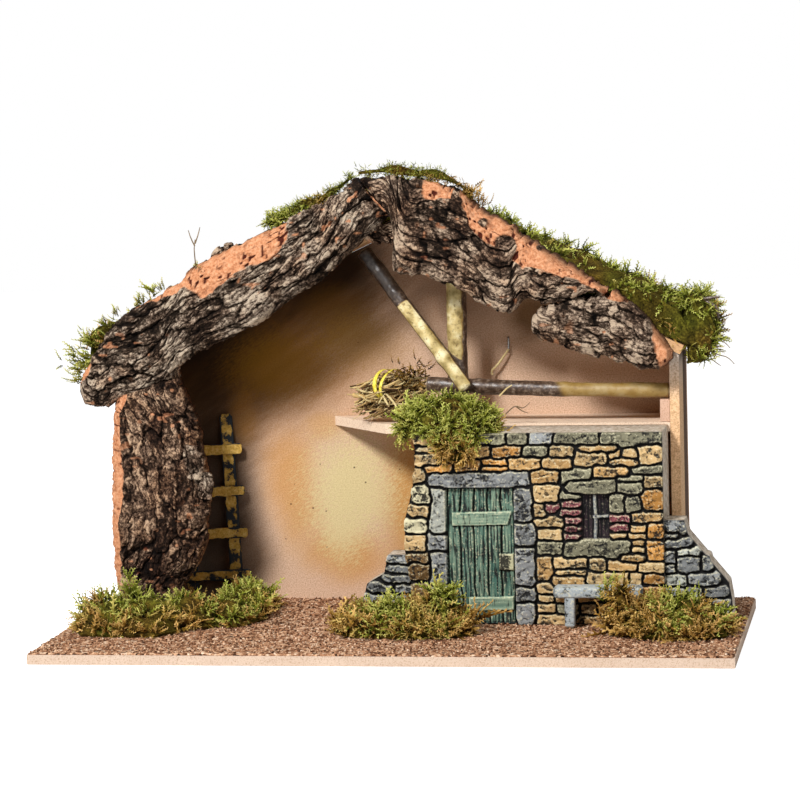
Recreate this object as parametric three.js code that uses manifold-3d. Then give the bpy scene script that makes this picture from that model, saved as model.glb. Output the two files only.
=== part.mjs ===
// Nativity stable: fibreboard house, cast stone front, cork bark trim, moss, straw and ladder.
// Millimetres, +X to the viewer's right, +Y to the back, +Z up.
// The origin is the middle of the base board's underside.
import * as THREE from "three";
import { mergeVertices } from "three/addons/utils/BufferGeometryUtils.js";
import Module from "manifold-3d";

const solids = await Module();
solids.setup();

// Clearance between any two pieces that touch
const SEAT = 0.3;

// Base board and the glued layer of cork granules on it
const BASE_WIDTH = 500;
const BASE_DEPTH = 240;
const BOARD = 7;
const GRANULES = 1.5;
const GRANULE_MARGIN = 0.6;
const STANDING = BOARD + GRANULES + SEAT;

// House shell: outer width, where it stands, and how far forward its walls reach
const HOUSE_WIDTH = 398;
const HOUSE_CENTRE_X = 2;
const HOUSE_DEPTH = 70;
const HOUSE_LEFT = HOUSE_CENTRE_X - HOUSE_WIDTH / 2;
const HOUSE_RIGHT = HOUSE_CENTRE_X + HOUSE_WIDTH / 2;
const BACK_Y = BASE_DEPTH / 2;
const PANEL_FACE_Y = BACK_Y - BOARD;
const WALL_FRONT_Y = BACK_Y - HOUSE_DEPTH;

// Roof: two boards that meet in a plumb joint at the ridge, left of the house's middle
const RIDGE_OFFSET = 12;
const RIDGE_X = HOUSE_CENTRE_X - RIDGE_OFFSET;
const RIDGE_Z = 302;
const EAVE_REACH = 16;
const ROOF_RUN = HOUSE_WIDTH / 2 + EAVE_REACH;
const ROOF_PITCH = THREE.MathUtils.degToRad(24);
const ROOF_OVERHANG_Y = 2;
const ROOF_FRONT_Y = WALL_FRONT_Y - ROOF_OVERHANG_Y;

// Cast stone front, its two wings and its shallow pockets
const CAST_MARGIN = 1.5;
const CAST_WIDTH = 187.5;
const CAST_RIGHT = HOUSE_RIGHT - BOARD - CAST_MARGIN;
const CAST_LEFT = CAST_RIGHT - CAST_WIDTH;
const CAST_HEIGHT = 139.5;
const CAST_DEPTH = 50;
const WING_BACK_Y = 31;
const WING_FACE_Y = 5;
const STONE_PROUD = 3.2;
const STONE_CHAMFER = 1.1;
const ROUNDED_FROM = 9;
const POCKET_DEPTH = 5;
const BENCH_REACH = 19;
const BENCH_SEAT_THICK = 8;
const CAST_FRONT_Y = WALL_FRONT_Y - CAST_DEPTH;

// Hay loft behind the stone front, with one slanting end past the cast
const LOFT_TOP_Z = 150;
const LOFT_REACH = 23.5;
const LOFT_SLANT = 50.3;
const LOFT_CORNER_X = CAST_LEFT - LOFT_REACH;

// Cork bark trim
const BARK_THICK = 34;
const PILLAR_THICK = 33;
const BARK_BACK_Y = ROOF_FRONT_Y - SEAT;

// Sticks that tie the loft to the roof
const BEAM_RADIUS = 6;
const POST_RADIUS = 8;
const BRACE_RADIUS = 6;
const BEAM_SETBACK = 1;
const BEAM_INSET = 8;
const BEAM_START_X = CAST_LEFT + BEAM_INSET;
const BEAM_RISE = 6;
const POST_INSET = 20.7;
const POST_X = BEAM_START_X + POST_INSET;
const BRACE_FOOT_X = POST_X + 11.3;
const BRACE_TOP_X = RIDGE_X - 23;
const BRACE_TOP_Y = WALL_FRONT_Y + 11;
const BLOCK_HEIGHT = 16.3;

// Ladder
const LADDER_HEIGHT = 142;
const LADDER_FROM_WALL = 31.3;
const LADDER_X = HOUSE_LEFT + LADDER_FROM_WALL;
const LADDER_FOOT_HALF = 18.2;
const LADDER_TOP_HALF = 15;
const RAIL_WIDTH = 9;
const SLAT = 3;
const RUNG_HEIGHT = 7;
const RUNG_OVERHANG = 12;
const RUNG_COUNT = 4;
const RUNG_FIRST = 18.8;
const RUNG_PITCH = 32.4;
const LADDER_LEAN = THREE.MathUtils.degToRad(3.6);
const LADDER_TILT = THREE.MathUtils.degToRad(1.7);

// Straw on the loft
const STRAW_LENGTH = 54;
const STRAW_RADIUS = 16;
const STRAW_X = LOFT_CORNER_X + 3;
const STRAW_SETBACK = 18;
const STALK_RADIUS = 3.8;
const CORE_RADIUS = 12;
const STALK_COUNT = 12;
const BAND_WIDTH = 6;
const BAND_THICK = 1.2;

// Moss
const ROOF_MOSS_LEFT = 22;
const ROOF_MOSS_RIGHT = 37;
const ROOF_MOSS_FROM = 0.03;
const CREST_MOSS = 9;
const EAVE_MOSS_DROP = 14;
const EAVE_MOSS_LEFT = 20;
const EAVE_MOSS_RIGHT = 22;

const smooth = (a, b, t) => {
  const s = Math.min(Math.max((t - a) / (b - a), 0), 1);
  return s * s * (3 - 2 * s);
};

// A repeatable number between -1 and 1 for a whole or broken seed
const scatter = (seed) => {
  const wave = Math.sin(seed * 12.9898 + 4.1) * 43758.5453;
  return 2 * (wave - Math.floor(wave)) - 1;
};

const roofTop = (x) => RIDGE_Z - Math.abs(x - RIDGE_X) * Math.tan(ROOF_PITCH);
const roofUnder = (x) => roofTop(x) - BOARD / Math.cos(ROOF_PITCH);

function outlineShape(points) {
  return new THREE.Shape(points.map(([a, b]) => new THREE.Vector2(a, b)));
}

// Outline in X and Z, carried along Y
function carryAlongY(points, frontY, backY) {
  const geometry = new THREE.ExtrudeGeometry(outlineShape(points), {
    depth: backY - frontY,
    bevelEnabled: false,
  });
  return geometry.rotateX(Math.PI / 2).translate(0, backY, 0);
}

// Outline in X and Y, carried up along Z
function carryUp(points, bottomZ, topZ) {
  const geometry = new THREE.ExtrudeGeometry(outlineShape(points), {
    depth: topZ - bottomZ,
    bevelEnabled: false,
  });
  return geometry.translate(0, 0, bottomZ);
}

function block(x0, x1, y0, y1, z0, z1) {
  const geometry = new THREE.BoxGeometry(x1 - x0, y1 - y0, z1 - z0);
  return geometry.translate((x0 + x1) / 2, (y0 + y1) / 2, (z0 + z1) / 2);
}

function welded(geometry) {
  geometry.deleteAttribute("normal");
  geometry.deleteAttribute("uv");
  return mergeVertices(geometry, 1e-4);
}

function toSolid(geometry) {
  const merged = welded(geometry.clone());
  return new solids.Manifold(
    new solids.Mesh({
      numProp: 3,
      vertProperties: Float32Array.from(merged.attributes.position.array),
      triVerts: Uint32Array.from(merged.index.array),
    })
  );
}

function toGeometry(solid) {
  const mesh = solid.getMesh();
  const geometry = new THREE.BufferGeometry();
  geometry.setAttribute("position", new THREE.BufferAttribute(mesh.vertProperties, 3));
  geometry.setIndex(new THREE.BufferAttribute(mesh.triVerts, 1));
  return geometry;
}

function joined(geometries) {
  return geometries.map(toSolid).reduce((whole, piece) => whole.add(piece));
}

// A box of facets whose every vertex is moved by place(u, t, v), each from 0 to 1
function mouldedBox(alongCount, throughCount, acrossCount, place) {
  const geometry = new THREE.BoxGeometry(1, 1, 1, alongCount, throughCount, acrossCount);
  const position = geometry.attributes.position;
  for (let i = 0; i < position.count; i += 1) {
    const [x, y, z] = place(
      position.getX(i) + 0.5,
      position.getY(i) + 0.5,
      position.getZ(i) + 0.5
    );
    position.setXYZ(i, x, y, z);
  }
  return welded(geometry);
}

// Stick of constant radius through a few bends; its section has 2 x halfSides facets
function stick(points, radius, steps = 8, halfSides = 6) {
  const section = new THREE.Shape();
  section.absarc(0, 0, radius, 0, Math.PI * 2, false);
  const path = new THREE.CatmullRomCurve3(points.map((p) => new THREE.Vector3(...p)));
  return new THREE.ExtrudeGeometry(section, {
    steps,
    curveSegments: halfSides,
    bevelEnabled: false,
    extrudePath: path,
  });
}

// Fibreboard shell

function baseBoard() {
  return block(-BASE_WIDTH / 2, BASE_WIDTH / 2, -BASE_DEPTH / 2, BASE_DEPTH / 2, 0, BOARD);
}

// The granules stop short of the walls and the back panel, which stand on the board itself
function granuleLayer() {
  const side = BASE_WIDTH / 2 - GRANULE_MARGIN;
  const front = BASE_DEPTH / 2 - GRANULE_MARGIN;
  const wallSlotY = WALL_FRONT_Y - SEAT;
  const innerY = PANEL_FACE_Y - SEAT;
  const outline = [
    [-side, -front],
    [side, -front],
    [side, front],
    [HOUSE_RIGHT + SEAT, front],
    [HOUSE_RIGHT + SEAT, wallSlotY],
    [HOUSE_RIGHT - BOARD - SEAT, wallSlotY],
    [HOUSE_RIGHT - BOARD - SEAT, innerY],
    [HOUSE_LEFT + BOARD + SEAT, innerY],
    [HOUSE_LEFT + BOARD + SEAT, wallSlotY],
    [HOUSE_LEFT - SEAT, wallSlotY],
    [HOUSE_LEFT - SEAT, front],
    [-side, front],
  ];
  return carryUp(outline, BOARD + 0.01, BOARD + GRANULES);
}

function backPanel() {
  const underLeft = roofUnder(HOUSE_LEFT) - SEAT;
  const underRight = roofUnder(HOUSE_RIGHT) - SEAT;
  const outline = [
    [HOUSE_LEFT, BOARD + SEAT],
    [HOUSE_RIGHT, BOARD + SEAT],
    [HOUSE_RIGHT, underRight],
    [RIDGE_X, roofUnder(RIDGE_X) - SEAT],
    [HOUSE_LEFT, underLeft],
  ];
  return carryAlongY(outline, PANEL_FACE_Y, BACK_Y);
}

// Side wall between two X values, its top cut to the roof's pitch
function sideWall(x0, x1) {
  const outline = [
    [x0, BOARD + SEAT],
    [x1, BOARD + SEAT],
    [x1, roofUnder(x1) - SEAT],
    [x0, roofUnder(x0) - SEAT],
  ];
  return carryAlongY(outline, WALL_FRONT_Y, PANEL_FACE_Y - SEAT);
}

// side is -1 for the left roof board and 1 for the right one; the eave is cut square
function roofBoard(side) {
  const ridge = RIDGE_X + (side * SEAT) / 2;
  const eave = RIDGE_X + side * ROOF_RUN;
  const eaveUnder = eave - side * BOARD * Math.sin(ROOF_PITCH);
  const outline = [
    [ridge, roofUnder(RIDGE_X)],
    [eaveUnder, roofTop(eave) - BOARD * Math.cos(ROOF_PITCH)],
    [eave, roofTop(eave)],
    [ridge, roofTop(ridge)],
  ];
  const ordered = side > 0 ? outline : outline.reverse();
  return carryAlongY(ordered, ROOF_FRONT_Y, BACK_Y);
}

function loftBoard() {
  const frontY = WALL_FRONT_Y + SEAT;
  const backY = PANEL_FACE_Y - SEAT;
  const rightX = HOUSE_RIGHT - BOARD - SEAT;
  const outline = [
    [LOFT_CORNER_X, frontY],
    [rightX, frontY],
    [rightX, backY],
    [LOFT_CORNER_X - LOFT_SLANT, backY],
  ];
  return carryUp(outline, LOFT_TOP_Z - BOARD, LOFT_TOP_Z);
}

// Offcut of board that carries the beam's right end
function beamBlock() {
  const x1 = HOUSE_RIGHT - BOARD - SEAT;
  const z0 = LOFT_TOP_Z + SEAT;
  const y0 = WALL_FRONT_Y + BEAM_SETBACK;
  return block(x1 - BOARD, x1, y0, y0 + 2 * BEAM_RADIUS, z0, z0 + BLOCK_HEIGHT);
}

// Sticks

const BEAM_Y = WALL_FRONT_Y + BEAM_SETBACK + BEAM_RADIUS;
const BEAM_END_X = HOUSE_RIGHT - BOARD - 2 * SEAT;
const BEAM_END_Z = LOFT_TOP_Z + SEAT + BLOCK_HEIGHT + SEAT + BEAM_RADIUS;

function crossBeam() {
  const middle = (BEAM_START_X + BEAM_END_X) / 2;
  const points = [
    [BEAM_START_X, BEAM_Y, BEAM_END_Z + BEAM_RISE],
    [middle, BEAM_Y, BEAM_END_Z + BEAM_RISE * 0.4],
    [BEAM_END_X, BEAM_Y, BEAM_END_Z],
  ];
  return stick(points, BEAM_RADIUS);
}

function uprightPost() {
  const y = BEAM_Y + BEAM_RADIUS + SEAT + POST_RADIUS;
  const topZ = roofUnder(POST_X + POST_RADIUS) - SEAT;
  const bottomZ = LOFT_TOP_Z + SEAT;
  const bow = [POST_X + 0.4, y, (bottomZ + topZ) / 2];
  return stick([[POST_X, y, bottomZ], bow, [POST_X, y, topZ]], POST_RADIUS);
}

function diagonalBrace() {
  const footY = BEAM_Y - BEAM_RADIUS - SEAT - BRACE_RADIUS;
  const footZ = BEAM_END_Z + BEAM_RISE * 0.6;
  const topZ = roofUnder(BRACE_TOP_X) - SEAT - 0.8 * BRACE_RADIUS;
  const foot = [BRACE_FOOT_X, footY, footZ];
  const head = [BRACE_TOP_X, BRACE_TOP_Y, topZ];
  const middle = foot.map((value, i) => (value + head[i]) / 2);
  return stick([foot, middle, head], BRACE_RADIUS);
}

// Cast stone front
// The layout was drawn on a wall of this size and stretches with the cast

const DRAWN_LEFT = 5;
const DRAWN_WIDTH = 187.5;
const DRAWN_FOOT = 8.8;
const DRAWN_HEIGHT = 139.5;
const onWallX = (x) => CAST_LEFT + ((x - DRAWN_LEFT) * CAST_WIDTH) / DRAWN_WIDTH;
const onWallZ = (z) => STANDING + ((z - DRAWN_FOOT) * CAST_HEIGHT) / DRAWN_HEIGHT;
const onWall = (points) => points.map(([x, z]) => [onWallX(x), onWallZ(z)]);

// Courses of rubble: bottom and top of each row, then left and right of each stone
const COURSES = [
  [140.5, 148.2, 12, 56, 59, 78, 80, 95, 97, 113, 115, 146, 148, 192],
  [135, 139.5, 15, 26, 28, 38, 40, 52, 134, 158],
  [131, 139.3, 54, 67, 69, 90, 92, 110, 112, 128],
  [126.5, 134, 14, 29],
  [130, 134, 31, 46, 155, 162, 164, 174],
  [125, 134, 129, 152],
  [126, 139, 176, 191],
  [122.5, 130.5, 82, 104, 106, 126],
  [121.5, 129, 42, 60],
  [125.5, 130, 62, 80],
  [120, 125, 20, 39],
  [121, 124.5, 62, 79],
  [124, 129, 156, 174],
  [118, 123.5, 170, 191],
  [116, 123.5, 143, 167],
  [114, 121.5, 98, 117, 119, 140],
  [112.5, 121, 11, 18],
  [110, 119.8, 23, 95],
  [113, 117.3, 160, 178],
  [108, 116.8, 180, 191],
  [105, 114, 125, 158],
  [105, 112, 160, 178],
  [98, 109, 99, 117],
  [100, 104, 119, 131],
  [92, 106.5, 178, 191],
  [90.5, 103.5, 155, 163],
  [94, 99, 120, 131],
  [91, 100, 165, 176],
  [92.5, 97, 108, 118],
  [84, 108.5, 86, 97],
  [87, 96.5, 98.5, 106.5],
  [88, 92.5, 119, 131.5],
  [83.5, 90, 170, 190],
  [82, 86.8, 122, 131.5],
  [83, 87.5, 155, 168],
  [80, 85.5, 99, 120],
  [71, 82.5, 181, 191],
  [76, 81.5, 156, 167, 169, 179],
  [76, 80.5, 121, 131.5],
  [70.5, 78.5, 101, 118],
  [71, 75, 120, 131.5, 155, 165, 167, 179],
  [58.5, 69.8, 121, 168],
  [66, 69.8, 170, 178],
  [56, 69.8, 180, 191],
  [60.5, 69, 101, 118.5],
  [61, 65, 170, 178],
  [54.5, 59.5, 162, 178],
  [50, 57.5, 112, 136],
  [47.5, 57.5, 138, 150],
  [43, 59, 99.5, 110],
  [48, 54, 152, 172],
  [46.5, 53.5, 174, 191],
  [45, 49, 114, 135],
  [40.5, 46.5, 137, 166],
  [37.5, 45.5, 168, 176],
  [38, 44.5, 178, 191],
  [38.5, 44, 112, 134],
  [24, 36.5, 178, 191],
  [31, 37, 101, 111],
  [25, 29.5, 101, 111],
  [17, 23.5, 100, 112],
  [10, 15.5, 101, 119, 130, 150],
  [16.5, 23, 131, 143, 145, 159],
  [10, 22, 168, 190],
  [76, 108.5, 24, 32.5],
  [63, 74.5, 20, 32.5],
  [38, 61, 23, 32.5],
  [10, 36, 22, 32.5],
  [67, 82, 86, 99],
  [37, 65, 86, 98],
  [25.5, 35.5, 86, 99],
  [10, 24, 86, 98],
  [97, 110.5, 12, 22],
  [88, 95.5, 8, 21],
  [76, 86, 5, 18],
  [62, 74, 4, 18],
  [54.5, 60.5, 4, 20],
  [41, 53, 8, 21],
  [25, 39, 9, 20],
  [10, 23, 9, 20],
];

// The wings' courses, in the same form
const WING_COURSES = [
  [75, 82.5, 193, 206],
  [70.5, 74, 193, 202],
  [63.5, 69.8, 193.5, 210],
  [58, 62.6, 202, 217],
  [53, 62, 193, 200],
  [47, 56.5, 202, 217],
  [48, 57.5, 219, 224.5],
  [45.8, 51.5, 192, 200],
  [37, 44.5, 210, 230],
  [36, 44.2, 192, 207.5],
  [28, 34.8, 192, 206, 208, 219, 222, 235],
  [19, 26.5, 193, 214, 216, 236],
  [10, 17.5, 193, 205, 207, 224, 226, 238],
  [52.5, 57.5, -10, 8],
  [45, 51.3, -10, 6],
  [38.5, 44, -13, 5],
  [31, 37, -25, -8, -6, 6],
  [23, 29.6, -28, -14, -12, 7],
  [10, 21.5, -29, -9, -7, 7],
];

const CAST_OUTLINE = [
  [7, 8.8], [192.5, 8.8], [192.5, 148.3], [11.5, 148.3], [11.5, 122], [9, 108],
  [6, 96], [3.5, 86], [2.5, 62], [5.5, 45],
];
const RIGHT_WING = [
  [190, 8.8], [241, 8.8], [240, 26], [238, 38], [209, 73.5], [206.5, 83.5], [190, 83.5],
];
const LEFT_WING = [
  [12, 8.8], [12, 58.5], [-11, 58.5], [-14, 45], [-27, 37.5], [-30.5, 24], [-31, 8.8],
];
const DOOR = { left: 34, right: 84, bottom: 8.8, top: 109, planks: 5 };
const WINDOW = { left: 133, right: 153.5, bottom: 71, top: 104 };
const BENCH = { left: 113, right: 177, top: 38.4, leg: 8 };

// One rough stone: a chamfered pad whose corners are cut by uneven amounts
function stone(left, right, bottom, top, faceY, seed) {
  const least = Math.min(right - left, top - bottom);
  const cut = (corner) => least * (0.24 + 0.1 * scatter(seed + corner));
  const [a, b, c, d] = [1, 2, 3, 4].map(cut);
  const rounded = [
    [left + a, bottom], [right - b, bottom], [right, bottom + b], [right, top - c],
    [right - c, top], [left + d, top], [left, top - d], [left, bottom + a],
  ];
  const thin = [
    [left + a, bottom], [right, bottom], [right, top - c], [right - c, top],
    [left, top], [left, bottom + a],
  ];
  const outline = onWall(least < ROUNDED_FROM ? thin : rounded);
  const proud = STONE_PROUD * (1 + 0.3 * scatter(seed + 5));
  const chamfer = Math.min(STONE_CHAMFER, 0.2 * least);
  const geometry = new THREE.ExtrudeGeometry(outlineShape(outline), {
    depth: proud,
    bevelThickness: chamfer,
    bevelSize: chamfer,
    bevelOffset: -chamfer,
    bevelSegments: 1,
  });
  return geometry.rotateX(Math.PI / 2).translate(0, faceY + chamfer, 0);
}

function stonesOf(courses, faceY) {
  const stones = [];
  for (const [bottom, top, ...edges] of courses) {
    for (let i = 0; i < edges.length; i += 2) {
      stones.push(stone(edges[i], edges[i + 1], bottom, top, faceY, edges[i] + 7 * top));
    }
  }
  return stones;
}

// Upright board or batten moulded on the wall, from drawn wall coordinates
function moulded(left, right, bottom, top, frontY, backY) {
  return block(onWallX(left), onWallX(right), frontY, backY, onWallZ(bottom), onWallZ(top));
}

function doorLeaf() {
  const inPocketY = CAST_FRONT_Y + POCKET_DEPTH + 1;
  const faceY = CAST_FRONT_Y + 1.8;
  const width = (DOOR.right - DOOR.left) / DOOR.planks;
  const pieces = [];
  for (let i = 0; i < DOOR.planks; i += 1) {
    const left = DOOR.left + i * width + (i > 0 ? 0.7 : 0);
    const front = faceY + 0.5 * scatter(i);
    pieces.push(moulded(left, DOOR.left + (i + 1) * width, DOOR.bottom, DOOR.top, front, inPocketY));
  }
  pieces.push(moulded(38, 82, 80.5, 90.5, faceY - 2.2, inPocketY));
  pieces.push(moulded(49, 82, 18, 28, faceY - 2.2, inPocketY));
  pieces.push(moulded(72, 83, 48, 60, faceY - 2.4, inPocketY));
  return pieces;
}

function windowLeaf() {
  const inPocketY = CAST_FRONT_Y + POCKET_DEPTH + 1;
  const faceY = CAST_FRONT_Y + 3;
  const middle = (WINDOW.left + WINDOW.right) / 2;
  return [
    moulded(WINDOW.left + 1, middle - 1, WINDOW.bottom, WINDOW.top, faceY, inPocketY),
    moulded(middle + 2.5, WINDOW.right - 1, WINDOW.bottom, WINDOW.top, faceY, inPocketY),
    moulded(middle - 1.5, middle + 2.5, WINDOW.bottom, WINDOW.top, faceY - 2, inPocketY),
    moulded(middle, WINDOW.right, 85.5, 88.5, faceY - 1.5, inPocketY),
  ];
}

function bench() {
  const frontY = CAST_FRONT_Y - BENCH_REACH;
  const seatBottom = BENCH.top - (BENCH_SEAT_THICK * DRAWN_HEIGHT) / CAST_HEIGHT;
  const legBack = frontY + BENCH.leg;
  const foot = DRAWN_FOOT;
  const secondLeg = BENCH.right - 2 * BENCH.leg;
  return [
    moulded(BENCH.left, BENCH.right, seatBottom, BENCH.top, frontY, CAST_FRONT_Y + 1),
    moulded(BENCH.left + BENCH.leg, BENCH.left + 2 * BENCH.leg, foot, seatBottom + 1, frontY, legBack),
    moulded(secondLeg, secondLeg + BENCH.leg, foot, seatBottom + 1, frontY, legBack),
  ];
}

function pocket({ left, right, bottom, top }) {
  const frontY = CAST_FRONT_Y - 2 * STONE_PROUD;
  const low = bottom > DRAWN_FOOT ? bottom : bottom - 1;
  return toSolid(moulded(left, right, low, top, frontY, CAST_FRONT_Y + POCKET_DEPTH));
}

function stoneFacade() {
  const rear = CAST_FRONT_Y + CAST_DEPTH - SEAT;
  const wallBodies = [
    carryAlongY(onWall(CAST_OUTLINE), CAST_FRONT_Y, rear),
    carryAlongY(onWall(RIGHT_WING), CAST_FRONT_Y + WING_FACE_Y, CAST_FRONT_Y + WING_BACK_Y),
    carryAlongY(onWall(LEFT_WING), CAST_FRONT_Y + WING_FACE_Y, CAST_FRONT_Y + WING_BACK_Y),
  ];
  const wall = joined([
    ...wallBodies,
    ...stonesOf(COURSES, CAST_FRONT_Y),
    ...stonesOf(WING_COURSES, CAST_FRONT_Y + WING_FACE_Y),
  ]);
  const pierced = wall.subtract(pocket(DOOR)).subtract(pocket(WINDOW));
  return toGeometry(pierced.add(joined([...doorLeaf(), ...windowLeaf(), ...bench()])));
}

// Cork bark
// A slab along a roof slope. Each station is [share of the run from the ridge to the upper
// edge, rise, drop, shift]: the rise above and the drop below the roof board's upper face, and
// how far the lower edge is shifted along X, all in millimetres. The slabs are cut aslant where
// they meet

const LEFT_SLAB = [
  [0.107, 42.8, -4.6, 26.5], [0.135, 41.5, 0.5, 25], [0.165, 38, 6.5, 13.5], [0.22, 35, 18, 4],
  [0.31, 36.5, 24, 0], [0.48, 36, 31, 0], [0.66, 36, 30, 0], [0.74, 29, 32, 0], [0.8, 27, 40, 0],
  [0.88, 26, 40, 0], [0.955, 23, 36, 0], [1.01, 14, 38, 0], [1.06, 2.5, 35, 0],
  [1.095, -5, 26, 0], [1.105, -9, 21, 0],
];
const RIGHT_UPPER_SLAB = [
  [-0.098, 42, -4.6, 26.5], [-0.005, 34, -0.6, 6.9], [0.042, 36, 16, -2.6], [0.09, 39, 34, -13],
  [0.17, 45, 29, -6], [0.26, 46, 28, 0], [0.31, 39, 29, 0], [0.41, 38, 31, 0], [0.465, 33, 16, 0],
  [0.53, 30, 13, 0], [0.61, 25, 2, 0], [0.7, 22, -12, 0], [0.75, 19, -16, 0],
];
const RIGHT_LOWER_SLAB = [
  [0.49, -26, 36, 0], [0.535, -13.5, 38, 0], [0.61, -3, 37, 0], [0.7, 11, 33, 0],
  [0.75, 15, 31, 0], [0.77, 20.5, 31, 0], [0.82, 17, 29, 0], [0.88, 11, 27, 0],
  [0.93, 1, 21, 0], [0.965, -6, 12, 0],
];

// Bark's outer face: long fissures with cross cracks, in millimetres, at most 1
function barkRelief(along, across, seed) {
  const wander = 2.2 * Math.sin(along * 0.05 + seed) + 1.5 * Math.sin(along * 0.13 + 2 * seed);
  const ridges = Math.abs(Math.sin((across + wander) * 0.19 + seed));
  const cracks = Math.abs(Math.sin(along * 0.17 + 1.7 * Math.sin(across * 0.09 + seed)));
  return 0.6 * ridges + 0.4 * cracks;
}

// Plump section: full thickness in the middle, thin at both edges of the slab
const plump = (v) => Math.pow(Math.max(1 - Math.pow(Math.abs(2 * v - 1), 3.2), 0), 0.5);

// The long edges of a slab as curves in X and Z, from the ridge outwards
function upperEdge(stations, side) {
  return new THREE.SplineCurve(
    stations.map(([share, rise]) => {
      const x = RIDGE_X + side * share * ROOF_RUN;
      return new THREE.Vector2(x, roofTop(x) + rise);
    })
  );
}

function lowerEdge(stations, side) {
  return new THREE.SplineCurve(
    stations.map(([share, , drop, shift]) => {
      const x = RIDGE_X + side * share * ROOF_RUN + shift;
      return new THREE.Vector2(x, roofTop(x) - drop);
    })
  );
}

function roofSlab(stations, side, seed, stationCount) {
  const upper = upperEdge(stations, side);
  const lower = lowerEdge(stations, side);
  const place = (u, t, v) => {
    const along = side > 0 ? u : 1 - u;
    const point = lower.getPoint(along).lerp(upper.getPoint(along), v);
    const relief = barkRelief(point.x, point.y * 1.2, seed);
    const thick = BARK_THICK * (0.34 + 0.4 * plump(v) + 0.26 * relief);
    return [point.x, BARK_BACK_Y - (1 - t) * thick, point.y];
  };
  return mouldedBox(stationCount, 1, 7, place);
}

// Height of a slab's edge at a given X, read off its curve
function edgeHeight(points, x) {
  const next = points.findIndex((point, i) => i > 0 && (x - points[i - 1].x) * (x - point.x) <= 0);
  const [a, b] = [points[next - 1], points[next]];
  return a.y + ((b.y - a.y) * (x - a.x)) / (b.x - a.x);
}

const leftSlabUnderside = lowerEdge(LEFT_SLAB, -1).getPoints(300);

// The standing slab at the left: [share of its height, left edge, right edge], the edges
// measured outwards from the left wall's outer face, in millimetres
const PILLAR = [
  [0, 25, -37], [0.1, 29, -25], [0.18, 31, -31], [0.27, 32, -39], [0.4, 32, -44],
  [0.57, 31, -43], [0.7, 29, -41], [0.8, 28, -37], [0.9, 25, -29], [1, 23, -23],
];

// Stands on the granules and ends just under the left roof slab
function barkPillar() {
  const edge = (pick) =>
    new THREE.SplineCurve(PILLAR.map((s) => new THREE.Vector2(HOUSE_LEFT - s[pick], s[0])));
  const left = edge(1);
  const right = edge(2);
  const backY = WALL_FRONT_Y - SEAT;
  const place = (u, t, v) => {
    const point = left.getPoint(v).lerp(right.getPoint(v), u);
    const top = edgeHeight(leftSlabUnderside, point.x) - 3 * SEAT;
    const z = STANDING + (top - STANDING) * Math.min(Math.max(point.y, 0), 1);
    const relief = barkRelief(z, point.x * 1.3, 2.4);
    const thick = PILLAR_THICK * (0.36 + 0.38 * plump(u) + 0.26 * relief);
    return [point.x, backY - (1 - t) * thick, z];
  };
  return mouldedBox(7, 1, 24, place);
}

// Ladder, leaning on the back panel and tilted to the left; the feet are cut level. The rungs end
// flush with the left rail, which stands close to the wall, and reach out past the right one

function ladderRail(side) {
  const foot = side * LADDER_FOOT_HALF;
  const head = side * LADDER_TOP_HALF;
  const half = RAIL_WIDTH / 2;
  const level = (x) => -x * Math.tan(LADDER_TILT);
  const outline = [
    [foot - half, level(foot - half)], [foot + half, level(foot + half)],
    [head + half, LADDER_HEIGHT], [head + 0.2 * half, LADDER_HEIGHT + 1.5],
    [head - half, LADDER_HEIGHT - 1],
  ];
  return carryAlongY(outline, 0, SLAT);
}

function ladderRung(index) {
  const z = RUNG_FIRST + index * RUNG_PITCH;
  const share = z / LADDER_HEIGHT;
  const rail = LADDER_FOOT_HALF + (LADDER_TOP_HALF - LADDER_FOOT_HALF) * share;
  const left = -rail - RAIL_WIDTH / 2;
  const right = rail + RUNG_OVERHANG;
  const h = RUNG_HEIGHT / 2;
  const skew = 0.6 * scatter(index + 3);
  const outline = [
    [left + 1.5, z - h - skew], [right - 1.5, z - h + skew], [right, z - h + 2 + skew],
    [right, z + h - 2 + skew], [right - 1.5, z + h + skew], [left + 1.5, z + h - skew],
    [left, z + h - 2 - skew], [left, z - h + 2 - skew],
  ];
  return carryAlongY(outline, -SEAT - SLAT, -SEAT);
}

// Straw bundle: loose stalks round a middle one, tied by a band

const STRAW_Y = WALL_FRONT_Y + STRAW_SETBACK;
const BAND_INNER = STRAW_RADIUS + 2 * SEAT;
const STRAW_Z = LOFT_TOP_Z + SEAT + BAND_INNER + BAND_THICK;

function strawBundle() {
  const core = [-1, 0, 1].map((end) => [STRAW_X + (end * STRAW_LENGTH) / 2, STRAW_Y, STRAW_Z]);
  const stalks = [stick(core, CORE_RADIUS, 2, 3)];
  const ring = STRAW_RADIUS - STALK_RADIUS;
  for (let i = 0; i < STALK_COUNT; i += 1) {
    const angle = (i / STALK_COUNT) * 2 * Math.PI;
    const dy = ring * Math.cos(angle);
    const z = STRAW_Z + ring * Math.sin(angle);
    const reach = STRAW_LENGTH / 2 + 2.5 * (scatter(i) - 1);
    const droop = BAND_THICK * scatter(i + 9);
    const bend = [
      [STRAW_X - reach, STRAW_Y + dy * (1.15 + 0.15 * scatter(i)), z + droop],
      [STRAW_X, STRAW_Y + dy, z],
      [STRAW_X + reach, STRAW_Y + dy, z - droop],
    ];
    stalks.push(stick(bend, STALK_RADIUS, 2, 3));
  }
  return toGeometry(joined(stalks));
}

function raffiaBand() {
  const inner = BAND_INNER;
  const outer = inner + BAND_THICK;
  const half = BAND_WIDTH / 2;
  const profile = [
    [inner, -half], [outer, -half], [outer, half], [inner, half], [inner, -half],
  ].map(([r, h]) => new THREE.Vector2(r, h));
  const ring = new THREE.LatheGeometry(profile, 20);
  return welded(ring.rotateZ(Math.PI / 2).translate(STRAW_X, STRAW_Y, STRAW_Z));
}

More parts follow.
